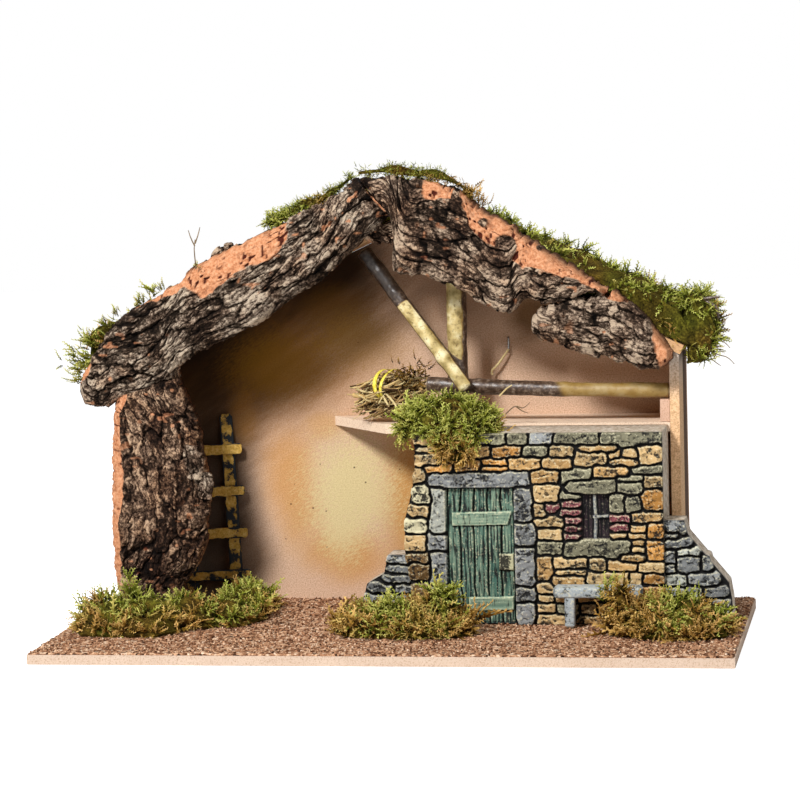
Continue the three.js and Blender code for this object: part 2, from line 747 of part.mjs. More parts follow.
// Small wire staple left in the back panel
function wallStaple() {
  const [x, z] = [POST_X + 28.3, LOFT_TOP_Z + 63];
  const backY = PANEL_FACE_Y - SEAT;
  return block(x - 0.8, x + 0.8, backY - 1.4, backY, z - 6, z + 6);
}

// Moss

// Lumpy mound with a flat underside, drawn from a sphere
function mound({ x, y, bottomZ = STANDING, halfX, halfY, height, seed }) {
  const geometry = new THREE.SphereGeometry(1, 14, 8);
  geometry.rotateX(Math.PI / 2);
  const position = geometry.attributes.position;
  for (let i = 0; i < position.count; i += 1) {
    const px = position.getX(i);
    const py = position.getY(i);
    const pz = position.getZ(i);
    const lump = 1 + 0.1 * Math.sin(5 * px + seed) * Math.cos(6 * py + seed) - 0.05;
    position.setXYZ(
      i,
      x + px * halfX * lump,
      y + py * halfY * lump,
      bottomZ + Math.max(pz, 0) * height * lump
    );
  }
  return welded(geometry);
}

// Thickness of a roof mat: rounded at its ends, lumpy between
const matProfile = (u, v, seed) => {
  const ends = smooth(0, 0.06, u) * smooth(0, 0.06, 1 - u);
  const sides = 0.75 + 0.25 * Math.sin(Math.PI * v);
  return (0.25 + 0.75 * ends) * sides * (0.92 + 0.08 * Math.sin(21 * u + 9 * v + seed));
};

function roofMat(fromShare, toShare, side, thickness, seed) {
  const place = (u, t, v) => {
    const share = fromShare + (toShare - fromShare) * (side > 0 ? u : 1 - u);
    const x = RIDGE_X + side * share * ROOF_RUN;
    const y = ROOF_FRONT_Y + 1.5 + (HOUSE_DEPTH + ROOF_OVERHANG_Y - 3) * t;
    const z = roofTop(x) + SEAT + v * thickness * matProfile(u, t, seed);
    return [x, y, z];
  };
  return mouldedBox(18, 4, 1, place);
}

// Clump that hangs over an eave: rounded box past the board's end
function eaveClump(side, reach, drop, thickness, seed) {
  const start = RIDGE_X + side * ROOF_RUN + side * 3 * SEAT;
  const place = (u, t, v) => {
    const out = side > 0 ? u : 1 - u;
    const round = Math.sqrt(1 - 0.75 * Math.pow(Math.abs(2 * v - 1), 3));
    const lump = 1 + 0.07 * Math.sin(13 * v + 7 * t + seed);
    const x = start + side * out * reach * round * lump;
    const y = ROOF_FRONT_Y + 3 + (HOUSE_DEPTH - 6) * t;
    const z = roofTop(start) - drop + v * (drop + thickness);
    return [x, y, z];
  };
  return mouldedBox(4, 5, 6, place);
}

function roofMoss(side, thickness, reach) {
  const mat = roofMat(ROOF_MOSS_FROM, 1.045, side, thickness, side + 2);
  const hanging = eaveClump(side, reach, EAVE_MOSS_DROP, thickness, side);
  return toGeometry(joined([mat, hanging]));
}

// Thin moss on the top edge of a bark slab, between two shares of the roof's run. It may reach
// out level past the slab's upper corner
function crestMoss(stations, side, fromShare, toShare, seed) {
  const crest = upperEdge(stations, side).getPoints(300);
  const place = (u, t, v) => {
    const share = fromShare + (toShare - fromShare) * (side > 0 ? u : 1 - u);
    const x = RIDGE_X + side * share * ROOF_RUN;
    const lump = 0.85 + 0.15 * Math.sin(17 * u + seed);
    const thick = CREST_MOSS * Math.sin(Math.PI * (0.15 + 0.7 * u)) * lump;
    const foot = edgeHeight(crest, side * Math.max(side * x, side * crest[0].x));
    return [x, BARK_BACK_Y - 1 - 10 * (1 - t), foot + 3 * SEAT + v * thick];
  };
  return mouldedBox(16, 2, 1, place);
}

// Clump on the cast's top that hangs down over its face
const LOFT_CLUMP = { x: CAST_LEFT + 31, setback: 11, halfX: 39, halfY: 23, height: 27 };
const LOFT_TAIL = { x: CAST_LEFT + 39, halfX: 19, halfY: 3.4, drop: 20, height: 30 };

function loftMoss() {
  const topZ = STANDING + CAST_HEIGHT + 2 * SEAT;
  const y = CAST_FRONT_Y + LOFT_CLUMP.setback;
  const cap = mound({ ...LOFT_CLUMP, y, bottomZ: topZ, seed: 1 });
  const hangY = CAST_FRONT_Y - 2 * STONE_PROUD - 2 * SEAT - LOFT_TAIL.halfY;
  const hanging = mouldedBox(6, 2, 5, (u, t, v) => {
    const half = LOFT_TAIL.halfX * Math.sqrt(v * 0.8 + 0.2);
    const deep = LOFT_TAIL.halfY * (1 - 0.5 * Math.pow(Math.abs(2 * v - 1), 3));
    const z = topZ - LOFT_TAIL.drop + v * LOFT_TAIL.height;
    return [LOFT_TAIL.x + (2 * u - 1) * half, hangY + (2 * t - 1) * deep, z];
  });
  return toGeometry(joined([cap, hanging]));
}

// Ground moss: out is measured from the house's side, front from the cast's face
const MOSS_BY_PILLAR = [
  { out: 2, front: 28, halfX: 47, halfY: 38, height: 26, seed: 2 },
  { out: -69, front: -38, halfX: 24, halfY: 62, height: 22, seed: 3 },
  { out: -35, front: 8, halfX: 30, halfY: 22, height: 23, seed: 4 },
];
const MOSS_BY_DOOR = [
  { out: -3, front: 37, halfX: 56, halfY: 29, height: 23, seed: 5 },
  { out: -29, front: 34, halfX: 14, halfY: 14, height: 34, seed: 6 },
];
const MOSS_BY_BENCH = [
  { out: -11.5, front: 39, halfX: 42, halfY: 28, height: 28, seed: 7 },
  { out: 27.5, front: 40, halfX: 10, halfY: 10, height: 38, seed: 8 },
];

function groundMoss(mounds, fromX) {
  const place = (clump) =>
    mound({ ...clump, x: fromX - clump.out, y: CAST_FRONT_Y - clump.front });
  return toGeometry(joined(mounds.map(place)));
}

// Colours, roughness and metalness of the real finishes
const FINISH = {
  fibreboard: ["#c9a98c", 0.8],
  sprayedBoard: ["#b59a86", 0.85],
  granules: ["#8a6650", 0.95],
  castStone: ["#9c8358", 0.9],
  corkBark: ["#4c443c", 0.95],
  stick: ["#8f7a55", 0.75],
  ladder: ["#a08038", 0.8],
  moss: ["#77862f", 1],
  straw: ["#b99a5a", 0.9],
  raffia: ["#e8d84a", 0.6],
  wire: ["#8a8a88", 0.4],
};

const stable = new THREE.Group();

function addPiece(name, geometry, finish, parent = stable) {
  const [color, roughness] = FINISH[finish];
  const metalness = finish === "wire" ? 1 : 0;
  const material = new THREE.MeshStandardMaterial({ color, roughness, metalness });
  const mesh = new THREE.Mesh(geometry, material);
  mesh.name = name;
  parent.add(mesh);
}

addPiece("base_board", baseBoard(), "fibreboard");
addPiece("ground_granules", granuleLayer(), "granules");
addPiece("back_panel", backPanel(), "sprayedBoard");
addPiece("left_side_wall", sideWall(HOUSE_LEFT, HOUSE_LEFT + BOARD), "fibreboard");
addPiece("right_side_wall", sideWall(HOUSE_RIGHT - BOARD, HOUSE_RIGHT), "fibreboard");
addPiece("roof_board_left", roofBoard(-1), "fibreboard");
addPiece("roof_board_right", roofBoard(1), "fibreboard");
addPiece("loft_board", loftBoard(), "fibreboard");
addPiece("beam_block", beamBlock(), "fibreboard");
addPiece("cross_beam", crossBeam(), "stick");
addPiece("upright_post", uprightPost(), "stick");
addPiece("diagonal_brace", diagonalBrace(), "stick");
addPiece("stone_facade", stoneFacade(), "castStone");
addPiece("bark_slab_left", roofSlab(LEFT_SLAB, -1, 0.4, 34), "corkBark");
addPiece("bark_slab_right_upper", roofSlab(RIGHT_UPPER_SLAB, 1, 1.3, 28), "corkBark");
addPiece("bark_slab_right_lower", roofSlab(RIGHT_LOWER_SLAB, 1, 3.1, 18), "corkBark");
addPiece("bark_pillar", barkPillar(), "corkBark");

const ladder = new THREE.Group();
const leanRun = Math.sin(LADDER_LEAN) * LADDER_HEIGHT;
ladder.position.set(LADDER_X, PANEL_FACE_Y - 2 * SEAT - SLAT - leanRun, STANDING + SEAT);
ladder.rotation.set(-LADDER_LEAN, -LADDER_TILT, 0);
stable.add(ladder);
addPiece("ladder_rail_left", ladderRail(-1), "ladder", ladder);
addPiece("ladder_rail_right", ladderRail(1), "ladder", ladder);
for (let i = 0; i < RUNG_COUNT; i += 1) {
  addPiece(`ladder_rung_${i + 1}`, ladderRung(i), "ladder", ladder);
}

addPiece("straw_bundle", strawBundle(), "straw");
addPiece("raffia_band", raffiaBand(), "raffia");
addPiece("wall_staple", wallStaple(), "wire");
addPiece("moss_roof_left", roofMoss(-1, ROOF_MOSS_LEFT, EAVE_MOSS_LEFT), "moss");
addPiece("moss_roof_right", roofMoss(1, ROOF_MOSS_RIGHT, EAVE_MOSS_RIGHT), "moss");
addPiece("moss_crest_left", crestMoss(LEFT_SLAB, -1, 0.125, 0.42, 1), "moss");
addPiece("moss_crest_right", crestMoss(RIGHT_UPPER_SLAB, 1, -0.1, 0.29, 2), "moss");
addPiece("moss_loft", loftMoss(), "moss");
addPiece("moss_ground_left", groundMoss(MOSS_BY_PILLAR, HOUSE_LEFT), "moss");
addPiece("moss_ground_middle", groundMoss(MOSS_BY_DOOR, CAST_LEFT), "moss");
addPiece("moss_ground_right", groundMoss(MOSS_BY_BENCH, CAST_RIGHT), "moss");

export default stable;
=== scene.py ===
# %% [markdown]
# # A nativity stable
# The real thing is a small house of fibreboard glued to a base board. Its front is a casting
# painted as rubble stone, its edges are trimmed with cork bark, and moss, straw and cork
# granules hide the joints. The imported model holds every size. This script gives that frame
# its surfaces, one piece after the other, and a camera and lamps to look at them.

# %% Load the frame
import math

import bpy
import numpy as np
from mathutils import Matrix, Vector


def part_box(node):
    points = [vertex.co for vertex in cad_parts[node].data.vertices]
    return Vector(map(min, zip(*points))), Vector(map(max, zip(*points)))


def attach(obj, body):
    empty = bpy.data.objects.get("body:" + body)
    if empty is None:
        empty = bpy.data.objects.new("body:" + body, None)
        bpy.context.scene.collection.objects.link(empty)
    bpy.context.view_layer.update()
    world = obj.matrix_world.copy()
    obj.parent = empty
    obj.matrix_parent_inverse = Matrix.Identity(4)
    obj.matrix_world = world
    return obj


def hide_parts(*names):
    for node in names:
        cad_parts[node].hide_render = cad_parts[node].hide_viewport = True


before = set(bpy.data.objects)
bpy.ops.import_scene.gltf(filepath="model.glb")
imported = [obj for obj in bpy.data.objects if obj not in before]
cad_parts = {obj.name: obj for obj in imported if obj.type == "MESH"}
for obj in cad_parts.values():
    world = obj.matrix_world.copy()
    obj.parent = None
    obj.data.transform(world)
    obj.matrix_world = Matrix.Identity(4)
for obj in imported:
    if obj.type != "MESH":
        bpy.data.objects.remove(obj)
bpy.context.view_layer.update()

# %% [markdown]
# Shapes are worked out in millimetres, because that is how the object was measured, and turned
# to metres only when a mesh is made. Colours are written as the hex values that a paint chart
# would give, and one function turns them to the linear light that Blender calculates with.

# %% Units and colours
MM = 0.001


def light_of(hex_code):
    """Linear colour of an sRGB hex value: each channel is ((c + 0.055) / 1.055) to the 2.4."""
    channels = [int(hex_code[i:i + 2], 16) / 255 for i in (1, 3, 5)]
    return tuple(
        c / 12.92 if c <= 0.04045 else ((c + 0.055) / 1.055) ** 2.4 for c in channels
    ) + (1.0,)


def rgb_of(hex_code):
    """The same colour as an array of three numbers, for colours kept on a mesh."""
    return np.array(light_of(hex_code)[:3])


def unit(vector):
    """The vector at length 1."""
    return np.asarray(vector, dtype=float) / np.linalg.norm(vector)


def node_box(name):
    """Lowest and highest corner of a CAD node, in millimetres."""
    low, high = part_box(name)
    return np.array(low) / MM, np.array(high) / MM


print("base board:", *[corner.round(1) for corner in node_box("base_board")])

# %% [markdown]
# The photograph's own perspective was solved from the base board's corners. So the camera gets
# that place, those three angles and that focal length, and nothing in the scene is bent to fit.

# %% Camera
IMAGE_PX = 800
FOCAL_PX = 3018.8
SENSOR_MM = 36
VIEW_DEPTH_M = 50
CAMERA_MM = np.array([389.7, -2148.6, 395.7])
YAW, PITCH, ROLL = -0.17836, 0.10148, -0.02837


def camera_matrix(position, yaw, pitch, roll):
    """Places a camera: it looks along Y turned by yaw, dips by pitch and leans by roll."""
    ahead = np.array([
        math.sin(yaw) * math.cos(pitch),
        math.cos(yaw) * math.cos(pitch),
        -math.sin(pitch),
    ])
    level = np.array([math.cos(yaw), -math.sin(yaw), 0])
    over = np.cross(level, ahead)
    right = math.cos(roll) * level + math.sin(roll) * over
    up = math.cos(roll) * over - math.sin(roll) * level
    matrix = np.eye(4)
    matrix[:3, :3] = np.stack([right, up, -ahead], axis=1)
    matrix[:3, 3] = position * MM
    return Matrix(matrix.tolist())


lens = bpy.data.cameras.new("camera")
lens.sensor_width = SENSOR_MM
lens.lens = FOCAL_PX / IMAGE_PX * SENSOR_MM
lens.clip_end = VIEW_DEPTH_M
camera = bpy.data.objects.new("camera", lens)
camera.matrix_world = camera_matrix(CAMERA_MM, YAW, PITCH, ROLL)
bpy.context.scene.collection.objects.link(camera)
bpy.context.scene.camera = camera
bpy.context.scene.view_settings.view_transform = "Standard"
print("lens:", round(lens.lens, 2), "mm")

# %% [markdown]
# Every material below is a small net of nodes. One function adds a node: its own settings come
# as words, and its inputs as values or as the sockets that feed them. The others make the nodes
# that nearly every net needs, and each gives back the socket with the result.

# %% Nodes and materials
# Specular level of a surface that nothing has polished
DUSTY = 0.15
# Factor, A and B sockets of a Mix node that blends colours, and its colour output
FACTOR, COLOUR_A, COLOUR_B, MIXED = 0, 6, 7, 2


def add(tree, kind, inputs=None, **settings):
    """Adds one shader node with its settings and its inputs, and gives it back."""
    made = tree.nodes.new("ShaderNode" + kind)
    for name, value in settings.items():
        setattr(made, name, value)
    for socket, value in (inputs or {}).items():
        if isinstance(value, bpy.types.NodeSocket):
            tree.links.new(value, made.inputs[socket])
        else:
            made.inputs[socket].default_value = value
    return made


def start_material(name, **constants):
    """Empty material: its tree, its Principled shader with constant values set on it, and the
    place on the object, in metres, that all its patterns read.

    Nearly everything here is dusty and matt, so reflections are faint unless a constant says
    otherwise."""
    material = bpy.data.materials.new(name)
    material.use_nodes = True
    tree = material.node_tree
    shader = tree.nodes["Principled BSDF"]
    shader.inputs["Specular IOR Level"].default_value = DUSTY
    for socket, value in constants.items():
        shader.inputs[socket.replace("_", " ")].default_value = value
    return material, tree, shader, add(tree, "TexCoord").outputs["Object"]


def attribute(tree, name, output="Fac"):
    """What the mesh keeps at its points under that name."""
    return add(tree, "Attribute", attribute_name=name).outputs[output]


def lumps(size_mm):
    """Scale of a texture on Object coordinates whose lumps are that many millimetres."""
    return 1 / (size_mm * MM)


def noise_of(tree, where, size_mm, detail=2.0, roughness=0.5):
    """Noise from 0 to 1, its largest lumps that many millimetres wide."""
    made = add(tree, "TexNoise", {"Vector": where, "Scale": lumps(size_mm), "Detail": detail,
                                  "Roughness": roughness})
    return made.outputs["Fac"]


def calculate(tree, operation, *values, **settings):
    """One operation on numbers or sockets."""
    made = add(tree, "Math", dict(enumerate(values)), operation=operation, **settings)
    return made.outputs[0]


def scaled(tree, value, factor, shift):
    """The value times a factor, plus a shift."""
    return calculate(tree, "MULTIPLY_ADD", value, factor, shift)


def sum_of(tree, value, *others):
    """The value plus all the others."""
    for other in others:
        value = calculate(tree, "ADD", value, other)
    return value


def between(tree, value, low, high, at_low=0.0, at_high=1.0, **settings):
    """Goes from at_low to at_high while the value goes from low to high, and stops there."""
    made = add(tree, "MapRange", {"Value": value, "From Min": low, "From Max": high,
                                  "To Min": at_low, "To Max": at_high}, **settings)
    return made.outputs["Result"]


def ramp(tree, value, *stops):
    """Colour for a value. Each stop is a place from 0 to 1 and a hex colour."""
    made = add(tree, "ValToRGB", {"Fac": value})
    elements = made.color_ramp.elements
    while len(elements) < len(stops):
        elements.new(0.5)
    for element, (place, hex_code) in zip(elements, stops):
        element.position = place
        element.color = light_of(hex_code)
    return made.outputs["Color"]


def blend(tree, factor, under, over, **settings):
    """Lays one colour over another by a factor from 0 to 1. Either may be a hex colour."""
    under, over = (light_of(colour) if isinstance(colour, str) else colour
                   for colour in (under, over))
    made = add(tree, "Mix", {FACTOR: factor, COLOUR_A: under, COLOUR_B: over},
               data_type="RGBA", **settings)
    return made.outputs[MIXED]


def paint_and_bump(tree, shader, colour, height, strength, depth_mm, **settings):
    """Gives the shader its colour, and bumps of that depth that follow a height from 0 to 1."""
    tree.links.new(colour, shader.inputs["Base Color"])
    bump = add(tree, "Bump", {"Height": height, "Strength": strength,
                              "Distance": depth_mm * MM}, **settings)
    tree.links.new(bump.outputs["Normal"], shader.inputs["Normal"])


def dress(piece, material):
    """Gives a piece, or a CAD node by name, that one material."""
    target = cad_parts[piece] if isinstance(piece, str) else piece
    target.data.materials.clear()
    target.data.materials.append(material)

# %% [markdown]
# The studio is a pale floor and three soft lamps. The world is white to the camera and in
# reflections, and dim as a light, so that the lamps still model the shapes.

# %% Studio
def soft_lamp(name, place, aim, size, watts):
    """Square area lamp at a place in metres, turned to face a point."""
    data = bpy.data.lights.new(name, "AREA")
    data.size = size
    data.energy = watts
    lamp = bpy.data.objects.new(name, data)
    away = unit(np.array(place) - np.array(aim))
    side = unit(np.cross([0, 0, 1], away))
    matrix = np.eye(4)
    matrix[:3, :3] = np.stack([side, np.cross(away, side), away], axis=1)
    matrix[:3, 3] = place
    lamp.matrix_world = Matrix(matrix.tolist())
    bpy.context.scene.collection.objects.link(lamp)


# The ladder's and the pillar's shadows fall to the right, so the key lamp stands at the left
soft_lamp("key_lamp", (-0.8, -2.15, 1.9), (0, 0, 0.12), 0.55, 100)
soft_lamp("fill_lamp", (1.6, -1.7, 1.0), (0, 0, 0.15), 1.4, 10)
soft_lamp("top_lamp", (0.1, -0.2, 2.0), (0, 0.02, 0.1), 0.8, 10)

WORLD_LIGHT = 0.055
world = bpy.data.worlds.new("studio")
bpy.context.scene.world = world
world.use_nodes = True
sky = world.node_tree
rays = add(sky, "LightPath").outputs
seen = calculate(sky, "MAXIMUM", rays["Is Camera Ray"], rays["Is Glossy Ray"])
seen_or_through = calculate(sky, "MAXIMUM", seen, rays["Is Transmission Ray"])
strength = between(sky, seen_or_through, 0.0, 1.0, WORLD_LIGHT, 1.0)
background = sky.nodes["Background"]
background.inputs["Color"].default_value = (1, 1, 1, 1)
sky.links.new(strength, background.inputs["Strength"])

FLOOR_HALF = 4.0
FLOOR_DROP = -0.0004
FLOOR_GLOW = 0.85
floor_mesh = bpy.data.meshes.new("studio_floor")
floor_mesh.from_pydata(
    [(x * FLOOR_HALF, y * FLOOR_HALF, FLOOR_DROP) for x, y in ((-1, -1), (1, -1), (1, 1), (-1, 1))],
    [],
    [(0, 1, 2, 3)],
)
floor = bpy.data.objects.new("studio_floor", floor_mesh)
bpy.context.scene.collection.objects.link(floor)


def paper_floor():
    """Matt white paper sweep: diffuse, and lifted a little for the camera alone."""
    material, tree, shader, _ = start_material("white_paper_sweep", Roughness=0.9)
    shader.inputs["Base Color"].default_value = light_of("#f4f4f4")
    seen_by_camera = add(tree, "LightPath").outputs["Is Camera Ray"]
    lift = calculate(tree, "MULTIPLY", seen_by_camera, FLOOR_GLOW)
    shader.inputs["Emission Color"].default_value = (1, 1, 1, 1)
    tree.links.new(lift, shader.inputs["Emission Strength"])
    return material


floor_mesh.materials.append(paper_floor())

# %% [markdown]
# New pieces are surfaces that numpy works out as whole arrays. These helpers serve them all:
# some put points and faces into a mesh and list the faces of a grid, and the others make the
# smooth random lumps and the plates that bark, stone and moss are made of.

# %% Mesh helpers
def new_piece(name, points, faces, material, slot, smooth=True, **attributes):
    """Closed mesh from points in millimetres and arrays of faces, turned to face outwards.

    The sign of the enclosed volume, the sum of a . (b x c) over all triangles, says which way
    the faces turn. Attributes are one number or one colour for each point."""
    points = np.asarray(points, dtype=np.float64).reshape(-1, 3)
    volume = 0
    for part in faces:
        for k in range(1, part.shape[1] - 1):
            a, b, c = points[part[:, 0]], points[part[:, k]], points[part[:, k + 1]]
            volume += np.einsum("ij,ij->i", a, np.cross(b, c)).sum()
    if volume < 0:
        faces = [part[:, ::-1] for part in faces]
    mesh = bpy.data.meshes.new(name)
    corners = np.concatenate([part.ravel() for part in faces]).astype(np.int32)
    sizes = np.concatenate([np.full(len(part), part.shape[1]) for part in faces])
    mesh.vertices.add(len(points))
    mesh.vertices.foreach_set("co", (points * MM).astype(np.float32).ravel())
    mesh.loops.add(len(corners))
    mesh.loops.foreach_set("vertex_index", corners)
    mesh.polygons.add(len(sizes))
    mesh.polygons.foreach_set("loop_start", (np.cumsum(sizes) - sizes).astype(np.int32))
    mesh.polygons.foreach_set("use_smooth", np.full(len(sizes), smooth))
    mesh.update(calc_edges=True)
    for key, values in attributes.items():
        values = np.asarray(values, dtype=np.float32)
        if values.ndim == 1:
            mesh.attributes.new(key, "FLOAT", "POINT").data.foreach_set("value", values)
        else:
            rgba = np.concatenate([values[:, :3], np.ones((len(values), 1), np.float32)], axis=1)
            colours = mesh.attributes.new(key, "FLOAT_COLOR", "POINT").data
            colours.foreach_set("color", rgba.ravel())
    piece = bpy.data.objects.new(name, mesh)
    bpy.context.scene.collection.objects.link(piece)
    dress(piece, material)
    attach(piece, "root")
    print(name, "triangles:", int((sizes - 2).sum()))
    return piece


def grid_quads(rows, columns, start=0, wrap=False):
    """Quads of a grid of rows by columns points; wrap joins the last column to the first."""
    r, c = np.meshgrid(np.arange(rows - 1), np.arange(columns if wrap else columns - 1),
                       indexing="ij")
    d = (c + 1) % columns
    quads = np.stack([r * columns + c, (r + 1) * columns + c, (r + 1) * columns + d,
                      r * columns + d], axis=-1)
    return quads.reshape(-1, 4) + start


def fan(ring, hub, turned=False):
    """Triangles from a hub point to each side of a ring of point numbers."""
    ring = np.asarray(ring)
    ahead = np.roll(ring, -1)
    tris = np.stack([np.full(len(ring), hub), ring, ahead], axis=1)
    return tris[:, ::-1] if turned else tris


def border(rows, columns):
    """Point numbers once round the border of a grid of rows by columns points."""
    index = np.arange(rows * columns).reshape(rows, columns)
    return np.concatenate([index[0, :-1], index[:-1, -1], index[-1, :0:-1], index[:0:-1, 0]])


def units(vectors):
    """Each vector of an array at length 1."""
    return vectors / np.linalg.norm(vectors, axis=-1, keepdims=True)


def length_along(path):
    """How far each point of a path is from its start, measured along it."""
    steps = np.linalg.norm(np.diff(path, axis=0), axis=1)
    return np.concatenate([[0], np.cumsum(steps)])


def sheet(x, z, y=0.0):
    """Places on a flat upright sheet, to read noise at."""
    return np.stack([x, np.full_like(x, y), z], axis=-1)


def lattice(ix, iy, iz, seed):
    """Number from 0 to 1 for each whole place: products with large primes, folded by xor."""
    mixed = (ix * 73856093 ^ iy * 19349663 ^ iz * 83492791 ^ seed * 2654435761) & 0xFFFFFFFF
    mixed = ((mixed ^ (mixed >> 15)) * 2246822519) & 0xFFFFFFFF
    mixed = ((mixed ^ (mixed >> 13)) * 3266489917) & 0xFFFFFFFF
    return (mixed ^ (mixed >> 16)) / 0xFFFFFFFF


def noise(points, size, seed=0):
    """Smooth noise from -1 to 1: eight lattice numbers blended by 3t^2 - 2t^3 on each axis.

    Size is the lumps' width in millimetres, or three widths."""
    place = np.asarray(points) / np.asarray(size, dtype=float)
    cell = np.floor(place).astype(np.int64)
    part = place - cell
    part = part * part * (3 - 2 * part)
    total = np.zeros(place.shape[:-1])
    for corner in np.ndindex(2, 2, 2):
        weight = np.prod(np.where(corner, part, 1 - part), axis=-1)
        total += weight * lattice(*np.moveaxis(cell + corner, -1, 0), seed)
    return 2 * total - 1


def rough(points, size, seed=0, octaves=3):
    """Noise on noise: each further layer has half the size and half the height."""
    size = np.asarray(size, dtype=float)
    layers = [noise(points, size / 2 ** k, seed + 17 * k) / 2 ** k for k in range(octaves)]
    return sum(layers) / (2 - 2 ** (1 - octaves))


def plates(along, across, size, seed):
    """Nearest-centre cells of a given length and width, in millimetres.

    Gives the distance to the border, 0 at it and about 1 in the middle, each point's offset
    from its centre, and three random numbers for its cell."""
    place = np.stack([along / size[0], across / size[1]])
    home = np.floor(place).astype(int)
    nearest = np.full(along.shape, 9.0)
    second = np.full(along.shape, 9.0)
    offset = np.zeros((2,) + along.shape)
    chance = np.zeros((3,) + along.shape)
    for step in np.ndindex(3, 3):
        cell = home + np.array(step).reshape(2, 1, 1) - 1
        draw = [lattice(cell[0], cell[1], np.full(along.shape, k), seed) for k in range(5)]
        away = place - cell - 0.5 - 0.85 * (np.stack(draw[:2]) - 0.5)
        distance = np.hypot(*away)
        closer = distance < nearest
        second = np.where(closer, nearest, np.minimum(second, distance))
        nearest = np.where(closer, distance, nearest)
        offset = np.where(closer, away, offset)
        chance = np.where(closer, np.stack(draw[2:]), chance)
    return second - nearest, offset * np.reshape(size, (2, 1, 1)), chance


def ease(a, b, t):
    """0 below a, 1 above b, and 3s^2 - 2s^3 between."""
    s = np.clip((t - a) / (b - a), 0, 1)
    return s * s * (3 - 2 * s)


print("noise range:", noise(np.random.default_rng(1).uniform(0, 99, (999, 3)), 7).round(2)[:3])

# %% [markdown]
# The boards are raw medium density fibreboard: sanded, pinkish tan, with short darker fibres
# under half a millimetre wide. At this distance a fibre is a fleck, so the flecks are drawn
# 0.9 mm wide. A slow mottle keeps a large face from looking printed.

# %% Fibreboard
def fibreboard(name, face, fleck):
    """Sanded fibreboard: a face colour, short darker flecks and a slow mottle."""
    material, tree, shader, where = start_material(name, Roughness=0.78)
    flecks = noise_of(tree, where, 0.9, 3.0)
    sharp = ramp(tree, flecks, (0.5, "#000000"), (0.72, "#ffffff"))
    shade = between(tree, noise_of(tree, where, 28), 0.3, 0.7, 0.0, 0.22)
    mottled = blend(tree, shade, face, fleck)
    flecked = blend(tree, sharp, mottled, fleck)
    paint_and_bump(tree, shader, flecked, flecks, 0.25, 0.2)
    return material


dress("base_board", fibreboard("fibreboard_sawn_pale", "#cdb6a2", "#a88a72"))
dress("loft_board", fibreboard("fibreboard_sanded_pink", "#f4dcc2", "#cda98c"))
tan_board = fibreboard("fibreboard_sanded_tan", "#d0a67a", "#a97d54")
for node_name in ("roof_board_left", "roof_board_right"):
    dress(node_name, tan_board)
dress("beam_block", fibreboard("fibreboard_offcut", "#d9b49b", "#b98d72"))

# %% [markdown]
# The side walls are the same board. The rear of each outer face is painted dark brown. The
# paint is found by distance from the house's middle plane and from the front. The raw board is
# grey near the roof and tan lower down.

# %% Side walls
PAINT_FROM_Y = 82
PAINT_FADE_MM = 3
TAN_BELOW_Z, GREY_ABOVE_Z = 165, 205


def painted_wall():
    """Fibreboard wall: raw inside and in front, dark matt paint on the outer face."""
    low, high = node_box("left_side_wall")[0], node_box("right_side_wall")[1]
    middle = (low[0] + high[0]) / 2
    half = (high[0] - low[0]) / 2
    material, tree, shader, where = start_material("fibreboard_painted_outside", Roughness=0.8)
    parts = add(tree, "SeparateXYZ", {"Vector": where}).outputs
    flecks = noise_of(tree, where, 1.1, 4.0)
    height = between(tree, parts["Z"], TAN_BELOW_Z * MM, GREY_ABOVE_Z * MM)
    board = blend(tree, height, "#eec69a", "#c4bcb4")
    grain = ramp(tree, flecks, (0.3, "#c8b8aa"), (0.62, "#ffffff"))
    raw = blend(tree, 1.0, board, grain, blend_type="MULTIPLY")
    from_middle = calculate(tree, "SUBTRACT", parts["X"], middle * MM)
    outwards = calculate(tree, "ABSOLUTE", from_middle)
    outside = between(tree, outwards, (half - 1.3) * MM, (half - 0.5) * MM)
    behind = between(tree, parts["Y"], PAINT_FROM_Y * MM, (PAINT_FROM_Y + PAINT_FADE_MM) * MM)
    paint = calculate(tree, "MULTIPLY", outside, behind)
    brown = ramp(tree, flecks, (0.35, "#3a2416"), (0.7, "#5d4029"))
    paint_and_bump(tree, shader, blend(tree, paint, raw, brown), flecks, 0.3, 0.25)
    return material


wall_finish = painted_wall()
for node_name in ("left_side_wall", "right_side_wall"):
    dress(node_name, wall_finish)

# %% [markdown]
# The back panel was misted with two spray cans and wiped with a nearly dry brush. Each mist is
# a soft ellipse on the board: its strength falls from 1 in the middle to 0 at the rim, and
# brushed noise breaks the rim up. They are laid one over the other, most dark ones first. A few
# of the dark ellipses are painted shadow: of the standing slab and the ladder, and of the roof
# slabs over the dark brown spray.

